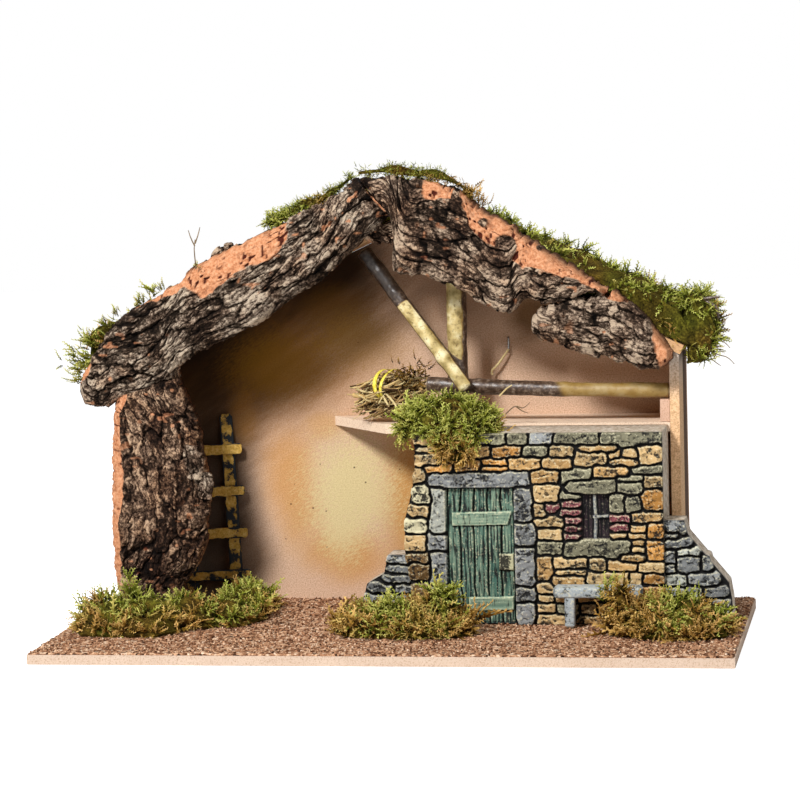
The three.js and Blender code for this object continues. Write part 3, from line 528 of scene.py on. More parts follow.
# %% Sprayed back panel and painted shadows
# Middle X and Z, half width, half height, colour, strength, how hairy its rim is
MISTS_AND_PAINTED_SHADOWS = [
    (-168, 226, 182, 140, "#9c6414", 0.92, 0.3),
    # Painted shadow of the standing slab and the ladder
    (-170, 90, 56, 160, "#170c06", 0.9, 0.0),
    # These two: dark brown spray under the left roof slab, and its painted shadow
    (-176, 236, 142, 132, "#1b0d03", 0.97, 0.0),
    (-76, 268, 90, 64, "#231100", 1.0, 0.0),
    # Painted shade under the right roof slab
    (24, 246, 66, 50, "#644224", 0.6, 0.0),
    (-62, 226, 40, 30, "#66440c", 0.65, 0.5),
    (-108, 188, 60, 38, "#8f6416", 0.6, 1.0),
    (-48, 206, 46, 30, "#a8803c", 0.5, 1.2),
    (-141, 150, 16, 26, "#b07a30", 0.4, 0.4),
    (84, 226, 26, 28, "#5d3f10", 0.85, 0.2),
    (-104, 100, 32, 52, "#cb9040", 0.65, 0.4),
    (-92, 62, 30, 40, "#cb9547", 0.4, 0.4),
    (-62, 42, 40, 30, "#c99042", 0.7, 0.5),
    (-10, 88, 36, 86, "#c48e44", 0.85, 0.2),
    (-78, 142, 22, 16, "#c99546", 0.4, 0.5),
    (-58, 94, 50, 54, "#dac997", 0.96, 2.2),
    (-66, 64, 24, 38, "#dac997", 0.8, 2.4),
]
PANEL_FLECKS_MM = 1.0
PANEL_FRONT_MM = node_box("back_panel")[0][1]


def sprayed_panel_with_painted_shadows():
    """Fibreboard: sprayed mists, painted shadows, wiped strokes, a few dark bits stuck in the paint.
    """
    material, tree, shader, where = start_material("fibreboard_sprayed_painted_shadows", Roughness=0.82)
    flecks = noise_of(tree, where, PANEL_FLECKS_MM, 4.0)
    bare = ramp(tree, flecks, (0.3, "#cba78c"), (0.66, "#dcbda2"))
    turned = add(tree, "Mapping", {"Vector": where, "Rotation": (0, math.radians(35), 0)})
    strokes = add(tree, "Mapping", {"Vector": turned.outputs["Vector"], "Scale": (1, 1, 4)})
    strokes = strokes.outputs["Vector"]
    brushed = calculate(tree, "SUBTRACT", noise_of(tree, strokes, 45, 3.0), 0.5)
    hairs = calculate(tree, "SUBTRACT", noise_of(tree, strokes, 4.5, 5.0, 0.75), 0.5)
    colour = bare
    # The ellipses are spray mists, and some are painted shadows; each is laid over what is under it
    for x, z, half_width, half_height, hex_code, amount, hairy in MISTS_AND_PAINTED_SHADOWS:
        centred = add(tree, "Mapping", {
            "Vector": where,
            "Location": (x * MM, 0, z * MM),
            "Scale": (half_width * MM, 1e3, half_height * MM),
        }, vector_type="TEXTURE").outputs["Vector"]
        reach = add(tree, "VectorMath", {0: centred}, operation="LENGTH").outputs["Value"]
        haired = scaled(tree, hairs, hairy, scaled(tree, brushed, 0.28, reach))
        mist_and_shadow = between(tree, haired, 0.25, 1.05, amount, 0.0, interpolation_type="SMOOTHSTEP")
        colour = blend(tree, mist_and_shadow, colour, hex_code)
    depth = add(tree, "SeparateXYZ", {"Vector": where}).outputs["Y"]
    front = between(tree, depth, (PANEL_FRONT_MM + 0.3) * MM, (PANEL_FRONT_MM + 0.9) * MM, 1.0, 0.0)
    colour = blend(tree, front, bare, colour)
    bits = add(tree, "TexVoronoi", {"Vector": where, "Scale": lumps(17)}).outputs["Distance"]
    colour = blend(tree, between(tree, bits, 0.035, 0.05, 0.8, 0.0), colour, "#3a2214")
    grain = ramp(tree, flecks, (0.32, "#e4ddd6"), (0.6, "#ffffff"))
    whole = blend(tree, 0.8, colour, grain, blend_type="MULTIPLY")
    paint_and_bump(tree, shader, whole, flecks, 0.2, 0.2)
    return material


dress("back_panel", sprayed_panel_with_painted_shadows())
print("mists on the panel:", len(MISTS_AND_PAINTED_SHADOWS))

# %% [markdown]
# The stone front is one casting, painted by hand: black in the joints, ochre, cream, brick and
# slate on the stones, and a nearly dry brush of cream over what stands proud. Its face is a
# relief, so it is a height over a grid of X and Z. Each stone is a rounded box in that grid.
# Its distance to the outline gives the height, and noise bends the outline first, so that no
# two stones are alike. The layout is the same list of courses that the solid was made from.

# %% Layout of the stones
# Bottom and top of each course, then left and right of each stone, in millimetres
COURSES = [
    [140.5, 148.2, 12, 56, 59, 78, 80, 95, 97, 113, 115, 146, 148, 192],
    [135, 139.5, 15, 26, 28, 38, 40, 52, 134, 158],
    [131, 139.3, 54, 67, 69, 90, 92, 110, 112, 128],
    [126.5, 134, 14, 29],
    [130, 134, 31, 46, 155, 162, 164, 174],
    [125, 134, 129, 152],
    [126, 139, 176, 191],
    [122.5, 130.5, 82, 104, 106, 126],
    [121.5, 129, 42, 60],
    [125.5, 130, 62, 80],
    [120, 125, 20, 39],
    [121, 124.5, 62, 79],
    [124, 129, 156, 174],
    [118, 123.5, 170, 191],
    [116, 123.5, 143, 167],
    [114, 121.5, 98, 117, 119, 140],
    [112.5, 121, 11, 18],
    [110, 119.8, 23, 95],
    [113, 117.3, 160, 178],
    [108, 116.8, 180, 191],
    [105, 114, 125, 158],
    [105, 112, 160, 178],
    [98, 109, 99, 117],
    [100, 104, 119, 131],
    [92, 106.5, 178, 191],
    [90.5, 103.5, 155, 163],
    [94, 99, 120, 131],
    [91, 100, 165, 176],
    [92.5, 97, 108, 118],
    [84, 108.5, 86, 97],
    [87, 96.5, 98.5, 106.5],
    [88, 92.5, 119, 131.5],
    [83.5, 90, 170, 190],
    [82, 86.8, 122, 131.5],
    [83, 87.5, 155, 168],
    [80, 85.5, 99, 120],
    [71, 82.5, 181, 191],
    [76, 81.5, 156, 167, 169, 179],
    [76, 80.5, 121, 131.5],
    [70.5, 78.5, 101, 118],
    [71, 75, 120, 131.5, 155, 165, 167, 179],
    [58.5, 69.8, 121, 168],
    [66, 69.8, 170, 178],
    [56, 69.8, 180, 191],
    [60.5, 69, 101, 118.5],
    [61, 65, 170, 178],
    [54.5, 59.5, 162, 178],
    [50, 57.5, 112, 136],
    [47.5, 57.5, 138, 150],
    [43, 59, 99.5, 110],
    [48, 54, 152, 172],
    [46.5, 53.5, 174, 191],
    [45, 49, 114, 135],
    [40.5, 46.5, 137, 166],
    [37.5, 45.5, 168, 176],
    [38, 44.5, 178, 191],
    [38.5, 44, 112, 134],
    [24, 36.5, 178, 191],
    [31, 37, 101, 111],
    [25, 29.5, 101, 111],
    [17, 23.5, 100, 112],
    [10, 15.5, 101, 119, 130, 150, 152, 164],
    [16.5, 23, 115, 129, 131, 143, 145, 159],
    [25, 30.5, 114, 127, 129, 146, 148, 163],
    [10, 22, 168, 190],
    [76, 108.5, 24, 32.5],
    [63, 74.5, 20, 32.5],
    [38, 61, 23, 32.5],
    [10, 36, 22, 32.5],
    [67, 82, 86, 99],
    [37, 65, 86, 98],
    [25.5, 35.5, 86, 99],
    [10, 24, 86, 98],
    [97, 110.5, 12, 22],
    [88, 95.5, 8, 21],
    [76, 86, 5, 18],
    [62, 74, 4, 18],
    [54.5, 60.5, 4, 20],
    [41, 53, 8, 21],
    [25, 39, 9, 20],
    [10, 23, 9, 20],
]
RIGHT_WING_COURSES = [
    [75, 82.5, 193, 206],
    [70.5, 74, 193, 202],
    [63.5, 69.8, 193.5, 210],
    [58, 62.6, 202, 217],
    [53, 62, 193, 200],
    [47, 56.5, 202, 217],
    [48, 57.5, 219, 224.5],
    [45.8, 51.5, 192, 200],
    [37, 44.5, 210, 230],
    [36, 44.2, 192, 207.5],
    [28, 34.8, 192, 206, 208, 219, 222, 235],
    [19, 26.5, 193, 214, 216, 236],
    [10, 17.5, 193, 205, 207, 224, 226, 238],
]
LEFT_WING_COURSES = [
    [52.5, 57.5, -10, 8],
    [45, 51.3, -10, 6],
    [38.5, 44, -13, 5],
    [31, 37, -25, -8, -6, 6],
    [23, 29.6, -28, -14, -12, 7],
    [10, 21.5, -29, -9, -7, 7],
]


def stones_of(courses):
    """Every stone as left, right, bottom, top."""
    rows = []
    for bottom, top, *edges in courses:
        rows += [(edges[i], edges[i + 1], bottom, top) for i in range(0, len(edges), 2)]
    return rows


print("stones:", len(stones_of(COURSES)), len(stones_of(RIGHT_WING_COURSES)),
      len(stones_of(LEFT_WING_COURSES)))

# %% [markdown]
# The painter used few pots. Which one a stone got follows from where it is: slate round the
# door, brick beside the window, grey on the coping, cream down the left edge, orange down the
# right one, and ochre elsewhere. Every stone is then a little lighter or darker by chance.

# %% Paint for each stone
POTS = {
    "ochre": "#b7996b", "honey": "#b08b58", "orange": "#b5803f", "cream": "#c8c09e",
    "olive": "#7b7761", "slate": "#7e8080", "pale": "#a8aaa0", "brick": "#7c454a",
    "umber": "#6d5230", "teal": "#3d6156", "joint": "#080707",
}


def pot_for(stone, chance):
    """Name of the paint for a stone of the main wall, from its place and a chance value."""
    left, right, bottom, top = stone
    x, z = (left + right) / 2, (bottom + top) / 2
    if z > 140:
        return "ochre" if x < 60 else ("olive" if chance < 0.5 else "slate")
    if right - left > 60 or 86 <= left < 87 or 19 < left < 25 and z < 109:
        return "pale" if left < 25 and 70 < bottom < 100 else "slate"
    if 108 <= left < 132 and right < 132 and 70 < z < 100 or 155 <= left < 157 and 75 < z < 88:
        return "brick"
    if right - left > 30 or 155 <= left < 176 and 90 < z < 104:
        return "olive"
    if x < 23 and z > 60:
        return "cream" if z < 112 and chance < 0.6 else "ochre"
    if x < 23:
        return "umber"
    if left > 175:
        return "orange" if z < 110 else "ochre"
    if z > 120 and x < 90:
        return "orange" if chance < 0.6 else "honey"
    return "honey" if chance < 0.35 else ("ochre" if chance < 0.8 else "olive")


def slate_pot(stone, chance):
    """Name of the paint for a stone of a wing."""
    return "slate" if chance < 0.8 else "pale"


pots_used = [pot_for(s, c) for s, c in zip(stones_of(COURSES),
                                           np.random.default_rng(5).random(200))]
print({pot: pots_used.count(pot) for pot in set(pots_used)})

# %% [markdown]
# The relief of one wall. For each stone the grid points near it get a rounded-box distance:
# the distance from the point to the box's straight sides, less the corner radius. A point goes
# to the stone with the least distance, so the stones grow till they meet. The joint is where
# the two least distances are nearly equal. Small tilted chips make each face look chiselled.

# %% Relief of the stones
STONE_PROUD_MM = 3.0
JOINT_MM = 0.6
SHOULDER_MM = 2.1
CHIP_MM = (6.5, 4.2)
STONE_REACH_MM = 7


def inside_box(x, z, left, right, bottom, top):
    """Distance inward from a rectangle's nearest side, negative outside it. Left and right
    bound the first coordinate, bottom and top the second."""
    return np.minimum(np.minimum(x - left, right - x), np.minimum(z - bottom, top - z))


def stone_relief(x, z, stones, pot_of, seed):
    """For each grid point: height in front of the wall, share of stone, colour, and how far
    it is from a joint, 0 to 1 over 4.5 mm."""
    place = sheet(x, z, 3.3 * seed)
    bent_x = x + 2.1 * rough(place, 10, seed) + 0.5 * noise(place, 2.4, seed + 1)
    bent_z = z + 1.5 * rough(place, 9, seed + 2) + 0.45 * noise(place, 2.6, seed + 3)
    first, second = np.full((2,) + x.shape, 9.0)
    face = np.zeros_like(x)
    colour = np.zeros(x.shape + (3,))
    draw = np.random.default_rng(seed)
    for stone in stones:
        chance, light, tip_x, tip_z, out, corner = draw.random(6)
        left, right, bottom, top = stone
        near = inside_box(x, z, left, right, bottom, top) > -STONE_REACH_MM
        half_x, half_z = (right - left) / 2, (top - bottom) / 2
        middle_x, middle_z = (left + right) / 2, (bottom + top) / 2
        radius = min(half_x, half_z) * (0.3 + 0.4 * corner)
        across = np.abs(bent_x[near] - middle_x) - (half_x - radius)
        along = np.abs(bent_z[near] - middle_z) - (half_z - radius)
        away = np.hypot(np.maximum(across, 0), np.maximum(along, 0)) \
            + np.minimum(np.maximum(across, along), 0) - radius
        closer = away < first[near]
        second[near] = np.where(closer, first[near], np.minimum(second[near], away))
        first[near] = np.where(closer, away, first[near])
        lean = (tip_x - 0.5) * (x[near] - middle_x) / half_x \
            + (tip_z - 0.5) * (z[near] - middle_z) / half_z
        face[near] = np.where(closer, STONE_PROUD_MM * (0.75 + 0.45 * out) + 1.1 * lean, face[near])
        tone = rgb_of(POTS[pot_of(stone, chance)]) * (0.72 + 0.5 * light)
        colour[near] = np.where(closer[:, None], tone, colour[near])
    _, offset, chip = plates(x + 0.5 * z, z - 0.35 * x, CHIP_MM, seed + 5)
    chiselled = (chip[0] - 0.5) * offset[0] * 0.28 + (chip[1] - 0.5) * offset[1] * 0.42 \
        + 0.55 * (chip[2] - 0.5) + 0.3 * rough(place, 2.4, seed + 6)
    proud = ease(JOINT_MM, JOINT_MM + SHOULDER_MM, second - first) * ease(3.6, 2.0, first)
    height = proud * (face + chiselled) + (1 - proud) * 0.5 * rough(place, 2.2, seed + 4)
    colour = colour * (0.8 + 0.4 * chip[2][..., None])
    return height, proud, colour, ease(0.3, 4.8, second - first)


print("shoulder:", ease(JOINT_MM, JOINT_MM + SHOULDER_MM, np.array([0.5, 1.5, 3])).round(2))

# %% [markdown]
# The door is moulded in the same casting, in a pocket: five planks with wandering gaps and a
# raised grain, two cross boards and a lock plate. The window is a deeper pocket with two
# shutters, a post and a bar. Both are heights on the same grid, measured from the wall's face.

# %% Door and window
DOOR = (34, 84, 8.8, 109)
WINDOW = (133, 153.5, 71, 104)
LOCK_PLATE = (72, 83, 48, 60)
PLANKS = 5


def door_relief(x, z):
    """For each grid point: height of the door's face, its lightness, and 1 on the boards."""
    left, right = DOOR[:2]
    place = sheet(x, z)
    wander = 1.1 * noise(place, (40, 1, 9), 31)
    plank = (x + wander - left) / (right - left) * PLANKS
    to_gap = np.abs(plank - np.round(plank)) * (right - left) / PLANKS
    grain = 0.5 * noise(place, (0.9, 1, 14), 32) + 0.5 * noise(place, (1.9, 1, 22), 33)
    each = lattice(np.floor(plank).astype(int), 0, 0, 34)
    height = -2.7 + 0.8 * grain + 0.9 * each - 2.4 * (1 - ease(0.3, 1.0, to_gap))
    light = 0.45 + 0.42 * grain
    board = np.zeros_like(x)
    boards = [(38.0, 82 - 0.35 * (90.5 - z), 80.5, 90.5, -0.6), (49, 82, 18, 28, -0.6),
              (*LOCK_PLATE, 0.1)]
    for index, (x0, x1, z0, z1, face) in enumerate(boards):
        edge = inside_box(x, z, x0, x1, z0 + 0.02 * (x - x0), z1 + 0.02 * (x - x0))
        grain_across = noise(place, (12, 1, 1.1), 35 + index)
        raised = ease(-0.3, 0.5, edge)
        raised_to = face + 0.2 * grain_across
        height = np.where(raised > 0.05, height * (1 - raised) + raised * raised_to, height)
        light = np.where(raised > 0.5, 0.7 + 0.2 * grain_across + 0.3 * (edge < 1.0), light)
        board = np.maximum(board, raised)
    return height, light, board


def window_relief(x, z):
    """Height of the shutters, post and bar for each grid point."""
    left, right = WINDOW[:2]
    place = sheet(x, z)
    middle = (left + right) / 2 - 0.4 + 0.4 * noise(place, (30, 1, 8), 41)
    post = ease(1.6, 0.9, np.abs(x - middle))
    bar = ease(1.5, 0.8, np.abs(z - 87 - 0.04 * (x - middle))) * (x > middle - 2)
    slats = ease(0.2, 0.9, np.abs((x - left) % 9.4 - 4.7) - 0.2)
    face = -3.9 + 0.7 * slats + 0.4 * noise(place, (1.2, 1, 9), 42)
    return np.maximum(face, np.maximum(post, bar) * 3.4 - 3.9), np.maximum(post, bar)


probe_x, probe_z = np.meshgrid(np.linspace(36, 82, 5), np.linspace(12, 100, 3))
print("door heights:", door_relief(probe_x, probe_z)[0].round(1).tolist()[0])

# %% [markdown]
# A wall is closed into a solid: the relief in front, straight sides back to the rear, and a
# flat rear. Rows run level, each from the wall's left outline to its right one, so the ragged
# left end is a real outline. The raw attribute marks what the painter didn't reach.

# %% Close a relief into a wall
DEPTH_STEPS = 10


def outline_at(z, profile):
    """X of an outline at each height, read off a list of (z, x) corners."""
    heights, places = zip(*profile)
    return np.interp(z, heights, places)


def ragged_outline(z, profile, stones, side):
    """Outline that bulges where a stone ends it and draws back in the joints between."""
    x = outline_at(z, profile)
    for left, right, bottom, top in stones:
        end = left if side < 0 else right
        middle, half = (bottom + top) / 2, (top - bottom) / 2 + 0.4
        share = np.clip(1 - ((z - middle) / half) ** 2, 0, 1) ** 0.4
        bulge = end + side * (0.6 - 2.6 * (1 - share))
        reaches = (np.abs(z - middle) < half) & (side * (bulge - x) > -1.5)
        x = np.where(reaches, np.where(side < 0, np.minimum(x, bulge), np.maximum(x, bulge)), x)
    return x


def closed_wall(name, x, z, height, face_y, rear_y, material, **front):
    """Front grid of points, sides back to the rear plane and a flat rear, as one solid."""
    rows, columns = x.shape
    front_points = np.stack([x, face_y - height, z], axis=-1)
    loop = border(rows, columns)
    rim = front_points.reshape(-1, 3)[loop]
    points = [front_points.reshape(-1, 3)]
    faces = [grid_quads(rows, columns)]
    previous = loop
    total = rows * columns
    for step in range(1, DEPTH_STEPS + 1):
        share = (step / DEPTH_STEPS) ** 1.5
        ring = rim.copy()
        ring[:, 1] += (rear_y - rim[:, 1]) * share
        points.append(ring)
        current = np.arange(total, total + len(loop))
        faces.append(np.stack([previous, current, np.roll(current, -1), np.roll(previous, -1)],
                              axis=1)[:, ::-1])
        previous = current
        total += len(loop)
    points.append(points[-1].mean(axis=0, keepdims=True))
    faces.append(fan(previous, total))
    points = np.concatenate(points)
    attributes = {}
    for key, values in front.items():
        values = np.asarray(values).reshape(rows * columns, -1)
        rest = values[np.concatenate([np.tile(loop, DEPTH_STEPS), loop[:1]])]
        attributes[key] = np.squeeze(np.concatenate([values, rest]))
    reach = points[:, 1] - face_y + 1.5 * rough(points, 6, 51)
    attributes["raw"] = ease(2.5, 4.5, reach) * (np.arange(len(points)) >= rows * columns)
    return new_piece(name, points, faces, material, "cast_stone", **attributes)


def wall_grid(left, right, bottom, top, step):
    """Level rows of points from a left to a right outline, both functions of height."""
    z = np.linspace(bottom, top, int((top - bottom) / step) + 1)
    left_x, right_x = left(z), right(z)
    columns = int(np.max(right_x - left_x) / step) + 1
    u = np.linspace(0, 1, columns)
    x = left_x[:, None] + (right_x - left_x)[:, None] * u
    return x, np.broadcast_to(z[:, None], x.shape).copy()

# %% [markdown]
# The paint. Each point of the relief already knows its colour. The shader adds what the relief
# leaves out: black wash that stayed in the pits, drawn as spots up to 3.6 mm wide, and cream
# from the dry brush on the high spots. Faces turned up also get more cream and less wash, and
# faces turned down more wash: partly how the painter worked, partly painted light from above.
# On wood the wash is stretched along the grain.

# %% Hand-painted cast stone
def painted_casting():
    """Rigid foam casting with a plaster skin, painted, washed in black and dry-brushed."""
    material, tree, shader, where = start_material("plaster_cast_hand_painted", Roughness=0.7)
    tint = attribute(tree, "tint", "Color")
    proud, crest, wood, raw, rim = (attribute(tree, name) for name in (
        "proud", "crest", "wood", "raw", "rim"))
    along = add(tree, "Mapping", {"Vector": where, "Scale": (1.5, 1.0, 0.14)}).outputs["Vector"]
    spots = noise_of(tree, where, 3.6, 8.0, 0.72)
    streaks = noise_of(tree, along, 1.7, 5.0, 0.6)
    mark = add(tree, "Mix", {0: wood, 2: spots, 3: streaks}).outputs[0]
    blotch = scaled(tree, noise_of(tree, where, 14.0, 3.0), 0.5, -0.25)
    pit = sum_of(tree, mark, crest, blotch, scaled(tree, rim, 0.25, -0.2))
    washed = blend(tree, between(tree, pit, 0.445, 0.575, 0.95, 0.0), tint, "#121214")
    lit = sum_of(tree, noise_of(tree, where, 1.4, 4.0), crest)
    brush = calculate(tree, "MULTIPLY", between(tree, lit, 0.58, 0.78, 0.0, 0.6), proud)
    brushed = blend(tree, brush, washed, "#dfd7b4")
    jointed = blend(tree, between(tree, proud, 0.2, 0.8, 1.0, 0.0), brushed, POTS["joint"])
    plaster = ramp(tree, spots, (0.34, "#78654f"), (0.46, "#b5a48e"), (0.64, "#e3dacd"))
    paint_and_bump(tree, shader, blend(tree, raw, jointed, plaster), mark, 0.5, 0.5)
    return material


casting = painted_casting()
GRID_MM = 0.56


def crest_and_top_light_of(height):
    """About -0.3 to 0.3: above its neighbours, or facing up as partly painted top light, is
    positive; the rest negative.
    """
    around = height.copy()
    for axis in (0, 1):
        around = (np.roll(around, 2, axis) + around + np.roll(around, -2, axis)) / 3
    downhill = -np.gradient(height, GRID_MM, axis=0)
    # The tanh term lightens faces turned up and darkens faces turned down: painted light from above,
    # on top of the dry brush and the wash
    return np.clip((height - around) * 0.3, -0.1, 0.12) + 0.09 * np.tanh(1.2 * downhill)

# %% [markdown]
# The main wall takes the door and window pockets as well. The solid's box gives its foot, so
# the relief can't drift from the frame at the bottom; its face and rear are given as numbers.

# %% Main wall
FACE_Y, REAR_Y, WING_FACE_Y, WING_REAR_Y = 0.0, 49.7, 5.0, 31.0
FOOT_Z = node_box("stone_facade")[0][2]
MAIN_TOP_Z, MAIN_RIGHT_X, LEFT_END_X = 148.3, 192.2, 16
LEFT_PROFILE = [(8.8, 9), (25, 8.5), (45, 6), (62, 3), (86, 3.5), (96, 6.5), (108, 9.5),
                (122, 12), (148.3, 12)]


def main_wall():
    """Rubble wall with the door and the window, 0.56 mm between grid points."""
    stones = stones_of(COURSES)
    end_stones = [s for s in stones if s[0] < LEFT_END_X]
    x, z = wall_grid(lambda h: ragged_outline(h, LEFT_PROFILE, end_stones, -1),
                     lambda h: np.full_like(h, MAIN_RIGHT_X), FOOT_Z, MAIN_TOP_Z, GRID_MM)
    height, proud, colour, rim = stone_relief(x, z, stones, pot_for, 7)
    door, door_light, boards = door_relief(x, z)
    in_door = ease(-0.2, 0.5, inside_box(x, z, *DOOR))
    height = np.where(in_door > 0, height * (1 - in_door) + in_door * door, height)
    teal, pale = rgb_of(POTS["teal"]), rgb_of("#9fae93")
    teal_paint = teal + (pale - teal) * (np.clip(door_light, 0, 1) ** 2.2)[..., None]
    plate = inside_box(x, z, *LOCK_PLATE) > 0
    teal_paint = np.where(plate[..., None], rgb_of("#b7b38f"), teal_paint)
    colour = np.where((in_door > 0.5)[..., None], teal_paint, colour)
    proud = np.where(in_door > 0.5, ease(-4.3, -3.0, height) * 0.9, proud)
    panes, post = window_relief(x, z)
    in_window = ease(-0.2, 0.4, inside_box(x, z, *WINDOW))
    height = np.where(in_window > 0, height * (1 - in_window) + in_window * panes, height)
    dark, grey = rgb_of("#3a2c33"), rgb_of("#7d8082")
    colour = np.where((in_window > 0.5)[..., None], dark + (grey - dark) * post[..., None], colour)
    proud = np.where(in_window > 0.5, 0.55 + 0.3 * post, proud)
    wood = np.maximum((in_door > 0.5) & ~plate, in_window > 0.5).astype(float)
    rim = np.where(wood > 0, 0.85 + 0.55 * (boards > 0.5) * (in_door > 0.5), rim)
    return closed_wall("stone_wall", x, z, height, FACE_Y, REAR_Y, casting, tint=colour,
                       proud=proud, rim=rim, crest=crest_and_top_light_of(height), wood=wood)


stone_wall = main_wall()
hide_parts("stone_facade")

# %% [markdown]
# The two wings stand 5 mm back. The right one rakes down in broken steps like a buttress, the
# left one is a low stepped stub.

# %% Wings
RIGHT_RAKE = [(8.8, 241), (26, 240), (38, 238), (73.5, 209), (83.5, 206.5)]
LEFT_RAKE = [(8.8, -31), (24, -30.5), (37.5, -27), (45, -14), (58.5, -11)]


def wing(name, courses, rake, side, top, inner, seed):
    """Wing wall between the main wall and its raking outline."""
    stones = stones_of(courses)
    ends = [s for s in stones if abs(np.interp((s[2] + s[3]) / 2, *zip(*rake))
                                     - s[1 if side > 0 else 0]) < 9]

    def raking(h):
        return ragged_outline(h, rake, ends, side)

    def straight(h):
        return np.full_like(h, inner)

    left, right = (straight, raking) if side > 0 else (raking, straight)
    x, z = wall_grid(left, right, FOOT_Z, top, GRID_MM)
    height, proud, colour, rim = stone_relief(x, z, stones, slate_pot, seed)
    return closed_wall(name, x, z, height, WING_FACE_Y, WING_REAR_Y, casting, tint=colour,
                       proud=proud, rim=rim, crest=crest_and_top_light_of(height), wood=np.zeros_like(x))


wing("stone_wing_right", RIGHT_WING_COURSES, RIGHT_RAKE, 1, 83.5, 191, 11)
wing("stone_wing_left", LEFT_WING_COURSES, LEFT_RAKE, -1, 58.5, 10, 12)

# %% [markdown]
# The trim is virgin cork bark. Outside it is charcoal to pale grey, split into blocky plates by
# deep fissures, with fine layers like the edges of pages. Where it was sawn or broken it shows
# orange cork with small dark pits. A slab is a ring of points carried along two edge curves:
# up the front face, over the top edge, down the flat back. The edge curves are the solid's own.

# %% Slab outlines
RIDGE_X, RIDGE_Z, ROOF_RUN, ROOF_PITCH = -10.0, 302.0, 215.0, math.radians(24)
BARK_BACK_Y = 47.7
# Share of the run from the ridge, rise above and drop below the roof, lower edge's shift in X
LEFT_SLAB = [
    (0.107, 42.8, -4.6, 26.5), (0.135, 41.5, 0.5, 25), (0.165, 38, 6.5, 13.5),
    (0.22, 35, 18, 4), (0.31, 36.5, 24, 0), (0.48, 36, 31, 0), (0.66, 36, 30, 0),
    (0.74, 29, 32, 0), (0.8, 27, 40, 0), (0.88, 26, 40, 0), (0.955, 23, 36, 0),
    (1.01, 14, 38, 0), (1.06, 2.5, 35, 0), (1.095, -5, 26, 0), (1.105, -9, 21, 0),
]
RIGHT_UPPER_SLAB = [
    (-0.098, 42, -4.6, 26.5), (-0.005, 34, -0.6, 6.9), (0.042, 36, 16, -2.6),
    (0.09, 39, 34, -13), (0.17, 45, 29, -6), (0.26, 46, 28, 0), (0.31, 39, 29, 0),
    (0.41, 38, 31, 0), (0.465, 33, 16, 0), (0.53, 30, 13, 0), (0.61, 25, 2, 0),
    (0.7, 22, -12, 0), (0.75, 19, -16, 0),
]
RIGHT_LOWER_SLAB = [
    (0.49, -26, 36, 0), (0.535, -13.5, 38, 0), (0.61, -3, 37, 0), (0.7, 11, 33, 0),
    (0.75, 15, 31, 0), (0.77, 20.5, 31, 0), (0.82, 17, 29, 0), (0.88, 11, 27, 0),
    (0.93, 1, 21, 0), (0.965, -6, 12, 0),
]
# Share of the height, then left and right edge, outwards from the left wall's outer face
PILLAR = [
    (0, 25, -37), (0.1, 29, -25), (0.18, 31, -31), (0.27, 32, -39), (0.4, 32, -44),
    (0.57, 31, -43), (0.7, 29, -41), (0.8, 28, -37), (0.9, 25, -29), (1, 23, -23),
]


def spline(corners, count):
    """Smooth curve through corners: between p1 and p2 it is the cubic whose slopes there are
    half of p2 - p0 and half of p3 - p1."""
    corners = np.asarray(corners, dtype=float)
    t = np.linspace(0, len(corners) - 1, count)
    k = np.minimum(t.astype(int), len(corners) - 2)
    s = (t - k)[:, None]
    p0, p1 = corners[np.maximum(k - 1, 0)], corners[k]
    p2, p3 = corners[k + 1], corners[np.minimum(k + 2, len(corners) - 1)]
    slope1, slope2 = (p2 - p0) / 2, (p3 - p1) / 2
    return (p1 + slope1 * s + (3 * (p2 - p1) - 2 * slope1 - slope2) * s ** 2
            + (2 * (p1 - p2) + slope1 + slope2) * s ** 3)


def roof_edges(stations, side, count):
    """Lower and upper edge of a roof slab, as X and Z, from the ridge outwards."""
    share, rise, drop, shift = np.array(stations, dtype=float).T
    x = RIDGE_X + side * share * ROOF_RUN
    lower_x = x + shift
    roof = RIDGE_Z - np.abs(np.stack([x, lower_x]) - RIDGE_X) * math.tan(ROOF_PITCH)
    lower = spline(np.stack([lower_x, roof[1] - drop], axis=1), count)
    upper = spline(np.stack([x, roof[0] + rise], axis=1), count)
    return lower, upper


print("left slab:", roof_edges(LEFT_SLAB, -1, 3)[1].round(1).tolist())

# %% [markdown]
# Bark relief. Each plate is the set of points nearest to one of many scattered centres. The
# fissure between two plates is where the nearest and the second nearest centre are equally far.
# Plates are long along the slab. Each has its own height and tilt, and smaller plates lie on
# the large ones. The layers run along the slab, or in rings round a plate's centre. The body
# is cut in steps 1.1 mm high, because cork grows a layer a year and breaks from layer to layer.

# %% Bark relief
LAYER_MM = 1.1


